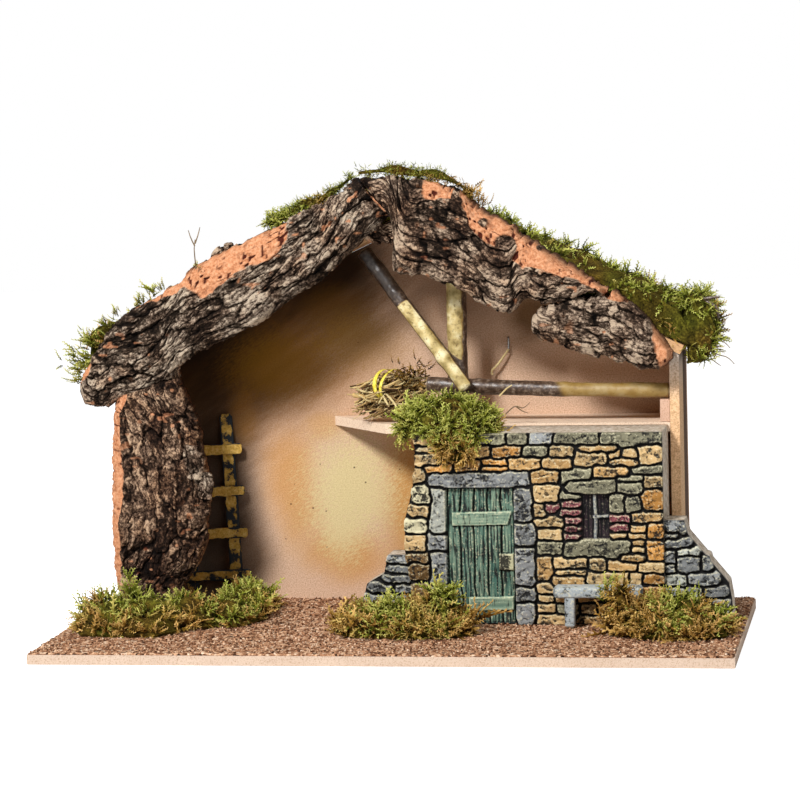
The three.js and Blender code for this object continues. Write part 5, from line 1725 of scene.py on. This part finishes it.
# %% Hazel sticks
def hazel():
    """Hazel stick: thin glossy bark, peeled in places down to cream wood, and a painted shadow."""
    material, tree, shader, where = start_material("hazel_stick_part_peeled", Specular_IOR_Level=0.5)
    peeled, cut = attribute(tree, "peeled"), attribute(tree, "cut")
    marks = noise_of(tree, where, 3.0, 6.0, 0.7)
    bark = ramp(tree, marks, (0.3, "#1f140d"), (0.5, "#4d392b"), (0.63, "#82705f"),
                (0.78, "#c2b4a4"))
    wood = ramp(tree, noise_of(tree, where, 9.0, 4.0),
                (0.3, "#7f6934"), (0.48, "#c5ae72"), (0.68, "#eee1b4"))
    scratches = ramp(tree, marks, (0.34, "#8f7d55"), (0.46, "#ffffff"))
    fresh = blend(tree, 0.8, wood, scratches, blend_type="MULTIPLY")
    # Peel below zero darkens the bark to near black: a painted shadow
    shadowed_bark = blend(tree, between(tree, peeled, -1.0, 0.0, 0.2, 1.0), "#150d08", bark)
    aged = blend(tree, between(tree, peeled, 0.5, 1.0, 0.85, 0.0), fresh, "#8a692c")
    whole = blend(tree, between(tree, peeled, 0.0, 0.5), shadowed_bark, aged)
    gloss = between(tree, peeled, 0.0, 1.0, 0.36, 0.62)
    tree.links.new(gloss, shader.inputs["Roughness"])
    paint_and_bump(tree, shader, blend(tree, cut, whole, "#a89a78"), marks, 0.5, 0.4)
    return material


hazel_finish = hazel()
# Where each stick has its knots, as shares of its length
KNOTS = (0.22, 0.57, 0.86)


def stick(name, node, ends, bow, radius, peel, seed, fresh=1.0, roof_shadow=0.0):
    """Natural stick between two ends: bowed, swollen at its knots, peeled where peel says.

    Fresh is how pale the peeled wood is: it browns with age. The last argument darkens the upper
    end: a painted shadow of the roof.
    Peel takes the share of the length and the direction round the stick, as its height."""
    count, around = 170, 44
    t = np.linspace(0, 1, count)[:, None]
    start, end = np.asarray(ends, dtype=float)
    path = start + (end - start) * t + np.asarray(bow) * np.sin(np.pi * t)
    path = path + 0.5 * np.stack([noise(path, 40, seed + k) for k in range(3)], axis=1)
    ahead = unit(end - start)
    side = unit(np.cross(ahead, [0, 1, 0]))
    over = np.cross(side, ahead)
    rings = carried(path, side, over, radius, radius, around=around, worn=1.2)
    outward = (rings - path[:, None]) / radius
    along = length_along(path)
    knots = sum(1.1 * np.exp(-((along - place * along[-1]) / 4.5) ** 2)
                for place in KNOTS)
    swell = knots[:, None] * (0.4 + 0.6 * noise(rings, 9, seed + 4)) \
        + 0.45 * noise(rings, 11, seed + 5) + 0.2 * noise(rings, 3, seed + 6)
    share = np.broadcast_to(t, rings.shape[:2])
    peeled = ease(-0.06, 0.06, peel(share, outward) + 0.16 * rough(rings, (16, 9, 7), seed + 7))
    rings = rings + outward * (swell - 0.35 * peeled - 0.4)[..., None]
    # Painted shadow of the roof over the upper end, kept as peel below zero
    peeled = fresh * peeled - roof_shadow * ease(0.5, 0.75, share) * (1 - peeled)
    points, faces = closed_rings(rings)
    cut = np.zeros(len(points))
    cut[-2:] = 1
    cut[:around] = 0.8
    cut[-2 - around:-2] = 0.8
    piece = new_piece(name, points, faces, hazel_finish, "peeled_stick",
                      peeled=np.concatenate([peeled.ravel(), [0.8, 0.8]]), cut=cut)
    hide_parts(node)


beam_low, beam_high = node_box("cross_beam")
BEAM_Y = (beam_low[1] + beam_high[1]) / 2
stick("beam", "cross_beam",
      [(beam_low[0], BEAM_Y, beam_high[2] - 6), (beam_high[0], BEAM_Y, beam_low[2] + 6)],
      (0, 0, -1.0), 6, lambda t, out: 0.9 * ease(0.35, 0.72, t) - 0.5, 81, fresh=0.55)
post_low, post_high = node_box("upright_post")
POST_X, POST_Y = (post_low[0] + post_high[0]) / 2, (post_low[1] + post_high[1]) / 2
stick("post", "upright_post", [(POST_X, POST_Y, post_low[2]), (POST_X, POST_Y, post_high[2])],
      (0.4, 0, 0), 8, lambda t, out: ease(0.8, 0.5, out[..., 0])
      * ease(0.38, 0.42, t + 0.04 * out[..., 0]) - 0.5, 82)
brace_low, brace_high = node_box("diagonal_brace")
# The brace's upper end gets a painted shadow of the roof
stick("brace", "diagonal_brace",
      [(brace_high[0] - 5, brace_low[1] + 6, brace_low[2] + 3.5),
       (brace_low[0] + 5, brace_high[1] - 6, brace_high[2] - 3.5)],
      (0, 0, 0), 6, lambda t, out: ease(0.68, 0.56, t) * ease(-0.3, -0.6, out[..., 1]) - 0.5, 83,
      roof_shadow=1.0)

# %% [markdown]
# The ladder is two rails and four rungs of thin wood, painted ochre, with blue-black paint
# rubbed back over the edges. The rungs take their place from the CAD nodes' boxes, the rails
# their depths and heights; the rails' X at foot and head is given.

# %% Painted ladder
def ladder_paint():
    """Thin softwood, ochre emulsion, blue-black paint left on edges and in smudges."""
    material, tree, shader, where = start_material("softwood_painted_ochre", Roughness=0.6)
    fine = noise_of(tree, where, 2.2, 5.0, 0.75)
    ochre = ramp(tree, fine, (0.3, "#94712b"), (0.5, "#c79f4c"), (0.7, "#e4c67c"))
    smudge = scaled(tree, noise_of(tree, where, 11, 4.0), 1.7, -0.83)
    worn = sum_of(tree, scaled(tree, fine, 0.9, smudge), attribute(tree, "edge"))
    dark = between(tree, worn, 0.55, 0.72, interpolation_type="SMOOTHSTEP")
    paint_and_bump(tree, shader, blend(tree, dark, ochre, "#20262c"), fine, 0.5, 0.4)
    return material


ladder_finish = ladder_paint()


def slat(name, node, start, end, face, width, thick, seed, wash_and_shade=0.0):
    """Flat slat from start to end, its broad side turned to face, with uneven edges.

    The last argument adds blue-black paint, and on the rails painted shade of the standing
    slab; below zero it makes a rung lighter, as painted light."""
    count, around = 60, 40
    ahead = unit(np.subtract(end, start))
    side = unit(np.cross(ahead, face))
    over = np.cross(side, ahead)
    t = np.linspace(0, 1, count)[:, None]
    path = np.asarray(start) + np.subtract(end, start) * t
    half_width = width / 2 * (1 + 0.03 * noise(path, 12, seed))
    rings = carried(path, side, over, half_width, thick / 2, 7, around, 2.2)
    rings = rings + 0.22 * noise(rings, 4, seed + 1)[..., None] * over
    from_middle = np.abs((rings - path[:, None]) @ side) / (width / 2)
    # The first term is extra blue-black paint, painted shade on the rails and painted light on the
    # rungs
    edge = wash_and_shade + 0.42 * ease(0.62, 0.98, from_middle) + 0.12 * ease(0.7, 0.95, t)
    points, faces = closed_rings(rings)
    piece = new_piece(name, points, faces, ladder_finish, "ladder_wood",
                      edge=np.concatenate([edge.ravel(), [0.2, 0.2]]))
    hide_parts(node)


LEAN = math.radians(3.6)
LADDER_FACE = np.array([0, -math.cos(LEAN), math.sin(LEAN)])
SLAT_MM = 3.0
# The rails get a little more dark: blue-black paint and painted shade of the standing slab
for side_name, foot_x, head_x in (("left", -183.9, -184.9), ("right", -147.5, -154.9)):
    node_name = f"ladder_rail_{side_name}"
    low, high = node_box(node_name)
    slat(f"rail_{side_name}", node_name, (foot_x, low[1] + SLAT_MM / 2 + 0.1, low[2] + 0.1),
         (head_x, high[1] - SLAT_MM / 2 - 0.1, high[2] - 0.2), LADDER_FACE, 10, SLAT_MM, 91,
         wash_and_shade=0.05)
for number in range(1, 5):
    node_name = f"ladder_rung_{number}"
    low, high = node_box(node_name)
    y, z = (low[1] + high[1]) / 2, (low[2] + high[2]) / 2
    # Rungs after the first are painted lighter, as lit; the first rung has bluer paint
    slat(f"rung_{number}", node_name, (low[0] + 0.3, y, z - 1.1), (high[0] - 0.3, y, z + 1.1),
         LADDER_FACE, 8.2, SLAT_MM, 92 + number, wash_and_shade=0.08 if number == 1 else -0.2)

# %% [markdown]
# The bench is part of the casting: a seat and two legs, knocked about like soft stone and
# painted slate.

# %% Bench
def bench_part(name, start, end, half_side, half_over, side, over, seed):
    """Stone block: a superellipse section of power 5, dented by noise, painted slate."""
    t = np.linspace(0, 1, 90)[:, None]
    path = np.asarray(start) + np.subtract(end, start) * t
    rings = carried(path, side, over, half_side, half_over, 5, 56, 2.5)
    dent = 0.75 * rough(rings, 8, seed) + 0.25 * noise(rings, 2, seed + 1)
    rings = rings + units(rings - path[:, None]) * (dent - 0.2)[..., None]
    points, faces = closed_rings(rings)
    tint = np.broadcast_to(rgb_of("#a0a8ab"), points.shape)
    crest = np.concatenate([np.clip(dent * 0.25, -0.1, 0.2).ravel(), [0, 0]])
    new_piece(name, points, faces, casting, "cast_stone", tint=tint, crest=crest + 0.06,
              proud=np.ones(len(points)), rim=np.full(len(points), 0.9),
              wood=np.zeros(len(points)), raw=np.zeros(len(points)))


ALONG_X, ALONG_Y, ALONG_Z = np.eye(3)
bench_part("bench_seat", (113, -9.5, 34.4), (177, -9.5, 34.4), 9.8, 4.2, ALONG_Y, ALONG_Z, 101)
for leg, x, seed in (("left", 125, 102), ("right", 165, 103)):
    bench_part(f"bench_leg_{leg}", (x, -14.5, 8.9), (x, -14.5, 32), 4.1, 4.3, ALONG_X, ALONG_Y,
               seed)

# %% [markdown]
# The straw is a loose handful of chopped stems. Half of them lie along the bundle, and half
# are short, darker and lie anyhow. Each stem is a five-sided spindle, made once. Two turns of
# yellow raffia hold them, and one thick stalk sticks out to the left.

# %% Straw
def dry_stems():
    """Dry stems: straw yellow to dark brown, by each stem's own chance value."""
    material, tree, shader, where = start_material("straw_stems_dry", Roughness=0.7)
    shade = scaled(tree, noise_of(tree, where, 2.0, 4.0), 0.3, -0.15)
    which = sum_of(tree, attribute(tree, "chance"), shade)
    colour = ramp(tree, which, (0.0, "#1d140d"), (0.3, "#4a3420"), (0.55, "#8e7149"),
                  (0.8, "#c6a66c"), (1.0, "#d9c590"))
    tree.links.new(colour, shader.inputs["Base Color"])
    return material


straw_finish = dry_stems()


def stem_shape():
    """Points and triangles of a five-sided stem a unit long along Z, with a slight bend."""
    rings = []
    for z, radius in ((0, 0.9), (0.33, 1.0), (0.67, 0.95), (1, 0.75)):
        turn = np.linspace(0, 2 * np.pi, 5, endpoint=False)
        bend = 1.2 * math.sin(math.pi * z)
        rings.append(np.stack([radius * np.cos(turn), bend + radius * np.sin(turn),
                               np.full(5, z)], axis=1))
    points, faces = closed_rings(np.array(rings))
    quads = faces[0]
    tris = np.concatenate([quads[:, [0, 1, 2]], quads[:, [0, 2, 3]], *faces[1:]])
    return points, tris


STEM_POINTS, STEM_TRIS = stem_shape()
STEM_COUNT = 760
straw_low, straw_high = node_box("straw_bundle")
STRAW_MIDDLE = (straw_low + straw_high) / 2


def straw():
    """Stems in the bundle's box: half lie along it and rise to the right, half lie anyhow."""
    draw = np.random.default_rng(111)
    count = STEM_COUNT
    half = (straw_high - straw_low) / 2
    offset = draw.normal(size=(count, 3)) * np.array([0.5, 0.42, 0.42])
    offset = offset / np.maximum(np.linalg.norm(offset, axis=1, keepdims=True), 1)
    middle = STRAW_MIDDLE + np.array([2, 0, 1]) + offset * (half + np.array([-1, 0, 2]))
    wild = draw.random(count) < 0.5
    lean = np.where(wild, 1.0, 0.28)[:, None]
    ahead = np.array([1.0, -0.1, 0.35]) + lean * draw.normal(size=(count, 3))
    frames = frames_along(ahead, draw)
    length = np.where(wild, draw.uniform(5, 14, count), draw.uniform(10, 27, count))
    radius = draw.uniform(0.25, 0.95, count)
    start = middle - frames[:, 2] * length[:, None] / 2
    tip = start + frames[:, 2] * length[:, None]
    floor_z = straw_low[2] + 0.2
    lift = np.maximum(floor_z + radius - np.minimum(start[:, 2], tip[:, 2]), 0)
    start[:, 2] += lift
    scale = np.stack([radius, radius, length], axis=1)
    points, faces = copies(STEM_POINTS, STEM_TRIS, start, frames, scale)
    chance = np.clip(draw.normal(0.76, 0.27, count) - 0.1 * wild, 0.02, 1)
    piece = new_piece("straw_stems", points, [faces], straw_finish, "straw",
                      chance=np.repeat(chance, len(STEM_POINTS)))
    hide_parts("straw_bundle")
    thick_path = np.linspace((-45, 62, 171), (-16, 66, 167), 30)
    rings = carried(thick_path, ALONG_Y, ALONG_Z, 1.9, 1.9, around=16, worn=0.8)
    rings = rings + 0.25 * noise(rings, 4, 112)[..., None] * ALONG_Z
    points, faces = closed_rings(rings)
    new_piece("straw_thick_stalk", points, faces, straw_finish, "straw",
              chance=np.full(len(points), 0.78))


straw()

# %% [markdown]
# Raffia is a flat strip of palm leaf. Each turn is a thin ellipse carried round the bundle, and
# the two turns lean apart.

# %% Raffia
def raffia_strip():
    """Dyed raffia: yellow, satin, with fine lines along the leaf."""
    material, tree, shader, where = start_material("raffia_dyed_yellow", Roughness=0.42)
    lines = add(tree, "Mapping", {"Vector": where, "Scale": (3.0, 0.6, 0.6)}).outputs["Vector"]
    fibre = noise_of(tree, lines, 1.6, 4.0)
    colour = ramp(tree, fibre, (0.3, "#b9a42c"), (0.5, "#ecd94a"), (0.7, "#faf08a"))
    paint_and_bump(tree, shader, colour, fibre, 0.4, 0.2)
    return material


TURN_POINTS, TURN_AROUND = 64, 10


def raffia_turn(middle_x, lean, half_width, start):
    """One closed turn round the bundle, leaning along X as it goes up."""
    count, around = TURN_POINTS, TURN_AROUND
    turn = np.linspace(0, 2 * np.pi, count, endpoint=False)
    radius_y, radius_z = 16.0, 11.5
    ring = np.stack([middle_x + lean * np.sin(turn) + 6 * np.cos(turn),
                     STRAW_MIDDLE[1] + radius_y * np.cos(turn), 178 + radius_z * np.sin(turn)],
                    axis=1)
    out = np.stack([np.zeros(count), np.cos(turn), np.sin(turn)], axis=1)
    section = np.linspace(0, 2 * np.pi, around, endpoint=False)
    wide = half_width * (1 + 0.2 * noise(ring, 8, 121))
    points = ring[:, None] + wide[:, None, None] * np.cos(section)[:, None] * ALONG_X \
        + 0.35 * np.sin(section)[:, None] * out[:, None]
    r, c = np.meshgrid(np.arange(count), np.arange(around), indexing="ij")
    r2, c2 = (r + 1) % count, (c + 1) % around
    quads = np.stack([r * around + c, r2 * around + c, r2 * around + c2, r * around + c2], axis=-1)
    return points.reshape(-1, 3), quads.reshape(-1, 4) + start


turns = [(-20.0, -1.0, 1.4), (-15.5, 2.0, 1.1)]
strips = [raffia_turn(*values, TURN_POINTS * TURN_AROUND * k) for k, values in enumerate(turns)]
raffia = new_piece("raffia_turns", np.concatenate([s[0] for s in strips]),
                   [s[1] for s in strips], raffia_strip(), "raffia")
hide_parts("raffia_band")

# %% [markdown]
# Last come the small things that make it look used: loose sprigs of moss, twigs and roots in
# it, scraps of bark, a wire staple that once held straw, and a stalk still caught in it. Each
# was measured in the photograph, at the depth of what it lies on.

# %% Loose moss
# Root X, Y and Z, lean in X and Z, frond length, number of fronds, dryness, spread of the roots
TUFTS = [
    (50, 50, 318, 0.3, 1, 8, 40, 1.0, 3.5), (57, 50, 312, 0.5, 0.8, 8, 24, 1.0, 2.5),
    (-201, 42, 243, -0.3, 1, 8, 14, 0.1, 1.5), (-192, 42, 249, -0.3, 1, 10, 16, 0.0, 2),
    (-184, 42, 253, -0.4, 1, 7, 10, 0.2, 1.5), (-228, 42, 228, -0.5, 1, 7, 12, 0.2, 1.5),
    (-218, 42, 235, -0.5, 1, 7, 10, 0.3, 1.5), (-246, 48, 200, -0.8, 0.4, 11, 60, 0.0, 6),
    (-240, 48, 215, -0.7, 0.6, 9, 36, 0.1, 4), (-250, 48, 190, -0.6, 0, 9, 30, 0.1, 4),
    (-27, 42, 321, 0, 1, 5, 20, 0.4, 3), (-23, 42, 328, 0.2, 1, 5, 12, 0.2, 2.5),
    (2, 60, 184, -0.2, 0.3, 8, 90, 1.2, 6), (-152, 22, 271, 0, 1, 5, 8, 0.2, 1),
    (152, -30, 30, 0.3, 1, 13, 10, 0.1, 1.2), (154, -30, 38, 0.3, 1, 12, 8, 0.0, 1.0),
    (156, -30, 44, 0.3, 1, 9, 6, 0.0, 0.8), (33, -35, 20, 0, 1, 14, 12, 0.0, 1.5),
    (33, -35, 31, 0, 1, 12, 8, 0.0, 1.0), (-199, -20, 32, -0.1, 1, 15, 16, -0.1, 2),
    (-201, -20, 42, -0.1, 1, 10, 8, -0.1, 1.2), (-232, -20, 20, -0.8, 1, 15, 10, 0.0, 1.5),
    (-220, -25, 26, -0.5, 1, 13, 14, 0.0, 2), (-104, -20, 26, 0.1, 1, 13, 16, 0.1, 2.5),
    (-8, 40, 149, 0, -1, 8, 6, 0.1, 0.6), (-7, 40, 142, 0.2, -1, 7, 6, 0.2, 0.6),
    (-5, 40, 136, 0.4, -1, 5, 5, 0.2, 0.5),
]


def loose_moss():
    """Fronds that fan out from each tuft's root, all in one piece."""
    draw = np.random.default_rng(131)
    rows = np.array(TUFTS, dtype=float)
    rows = rows[np.repeat(np.arange(len(rows)), rows[:, 6].astype(int))]
    count = len(rows)
    start = rows[:, :3] + draw.normal(size=(count, 3)) * rows[:, 8:]
    lean = np.stack([rows[:, 3], np.full(count, -0.2), rows[:, 4]], axis=1)
    frames = frames_along(lean + 0.42 * draw.normal(size=(count, 3)), draw)
    points, faces = copies(FROND_POINTS, FROND_TRIS, start, frames,
                           rows[:, 5] * draw.uniform(0.6, 1.15, count))
    each = len(FROND_POINTS)
    tone = draw.uniform(-0.15, 0.2, count) - 0.25 * (rows[:, 7] > 1)
    tip = 0.02 + 0.8 * np.tile(FROND_HEIGHT, count) + np.repeat(tone, each)
    dry = np.clip(rows[:, 7] + draw.uniform(-0.2, 0.3, count), 0, 1)
    new_piece("moss_loose", points, [faces], moss_finish, "moss", smooth=False, tip=tip,
              dry=np.repeat(dry, each))


loose_moss()

# %% [markdown]
# Twigs, roots, stalks and the staple's wire are round sections along a bent path. The path is
# a spline through a few measured points, and the section stays square to it. A twig tapers.

# %% Twigs, stalks and the staple
def wire_finish():
    """Galvanised staple wire: dull metal with faint darker spots."""
    material, tree, shader, where = start_material("steel_wire_galvanised", Metallic=1.0)
    spots = noise_of(tree, where, 1.2, 3.0)
    colour = ramp(tree, spots, (0.35, "#6f6f6d"), (0.6, "#b9bab8"))
    tree.links.new(colour, shader.inputs["Base Color"])
    tree.links.new(between(tree, spots, 0.0, 1.0, 0.3, 0.6), shader.inputs["Roughness"])
    return material


TWIG_RINGS = 30


def twigs(name, paths, radius, material, slot, taper=0.45, flat=1.0, **tints):
    """Round or flat sections along bent paths, as one piece, tapered to a share at the end."""
    points, faces, total = [], [], 0
    for corners in paths:
        path = spline(corners, TWIG_RINGS)
        ahead = np.gradient(path, axis=0)
        over = units(np.cross(ahead, [0.3, 1, 0.2]))
        side = units(np.cross(over, ahead))
        size = radius * np.linspace(1, taper, TWIG_RINGS)
        rings = carried(path, side[:, None], over[:, None], size * flat, size, around=10)
        rings = rings + 0.2 * radius * noise(rings, 3, 133)[..., None] * over[:, None]
        one, its_faces = closed_rings(rings, total)
        points.append(one)
        faces += its_faces
        total += len(one)
    points = np.concatenate(points)
    return new_piece(name, points, faces, material, slot,
                     **{key: np.full(len(points), value) for key, value in tints.items()})


staple = twigs("staple_wire", [[(67, 113.2, 208.5), (67.2, 110.4, 208.3), (67.4, 110, 203.5),
                                (67, 110.4, 198.6), (67, 113.2, 198.5)]],
               0.75, wire_finish(), "wire", taper=1.0)
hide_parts("wall_staple")
twigs("stalk_in_staple", [[(67.4, 108.6, 200), (61, 107, 191), (55.5, 106, 185)],
                          [(55.6, 106, 186), (54.6, 106, 183), (55.2, 106, 181)]],
      0.9, straw_finish, "straw", taper=0.9, chance=1.0)
twigs("stems_on_loft", [[(69, 45, 171), (74, 45, 176), (78.4, 45, 179)],
                        [(25.9, 45, 171), (28, 44, 175), (30, 44, 178)]],
      0.8, straw_finish, "straw", chance=0.95)
twigs("twigs_roof_end", [[(210, 60, 236), (223, 58, 240), (231, 56, 241)],
                         [(220, 60, 238), (228, 58, 233), (230, 58, 225)],
                         [(212, 60, 205), (222, 60, 204), (229, 58, 209)]],
      1.7, hazel_finish, "peeled_stick", peeled=0.0, cut=0.0)
twigs("roots_thin", [[(214, 60, 212), (226, 60, 200), (236, 60, 196), (241, 60, 191)],
                     [(220, 60, 207), (232, 60, 208), (238, 60, 203)],
                     [(222, 60, 206), (224, 60, 196), (231, 60, 190)],
                     [(72.6, 45, 157), (80, 45, 163), (86, 45, 162), (91.5, 45, 166)],
                     [(81, 45, 163), (85, 45, 160), (90, 45, 158)],
                     [(-152, 22, 270), (-152.5, 20, 284), (-151.5, 20, 292)],
                     [(-152, 20, 287), (-155, 20, 294), (-156.5, 20, 299)],
                     [(-151.6, 20, 289), (-149, 20, 296), (-147.5, 20, 301)]],
      0.55, hazel_finish, "peeled_stick", peeled=0.15, cut=0.0)
twigs("leaf_on_loft", [[(-9.5, 40, 160.4), (-6, 39.5, 162.6), (-2.4, 40, 163)]],
      1.5, moss_finish, "moss", taper=0.3, flat=0.25, tip=0.8, dry=0.3)

# %% [markdown]
# Scraps of bark finish the trim: the lap under the left slab at the ridge, a grey hump behind
# that slab, and two flaps on the right edge of the standing slab.

# %% Scraps of bark
def no_cork(x, z, station, v):
    """Bark all over."""
    return 0 * x


# Lower or right edge, upper or left edge, thickness, rear Y, share of brown
SCRAPS = {
    "bark_right_lap": ([(-27.8, 290.5), (-15, 285), (-3.3, 283.4)],
                       [(-26, 292), (-16, 300), (-6, 304)], 9, 47.7, 0.3),
    "bark_hump": ([(-149, 274), (-134, 274), (-120, 272)],
                  [(-147, 279), (-134, 288), (-122, 279)], 8, 55, 0.2),
    "bark_flap_pale": ([(-156, 138), (-153, 125), (-154, 112)],
                       [(-167, 139), (-166, 125), (-164, 113)], 8, 29, 0.1),
    "bark_flap_grey": ([(-149, 117), (-146.5, 108), (-149, 97)],
                       [(-160, 119), (-159, 108), (-157, 98)], 9, 33, 0.0),
}
for number, (name, (lower, upper, thick, rear, warm)) in enumerate(SCRAPS.items()):
    bark_slab(name, None, (spline(lower, 50), spline(upper, 50)), thick, rear,
              (141 + number, 12, 0.2), no_cork, warm, 80, soot=0.03)
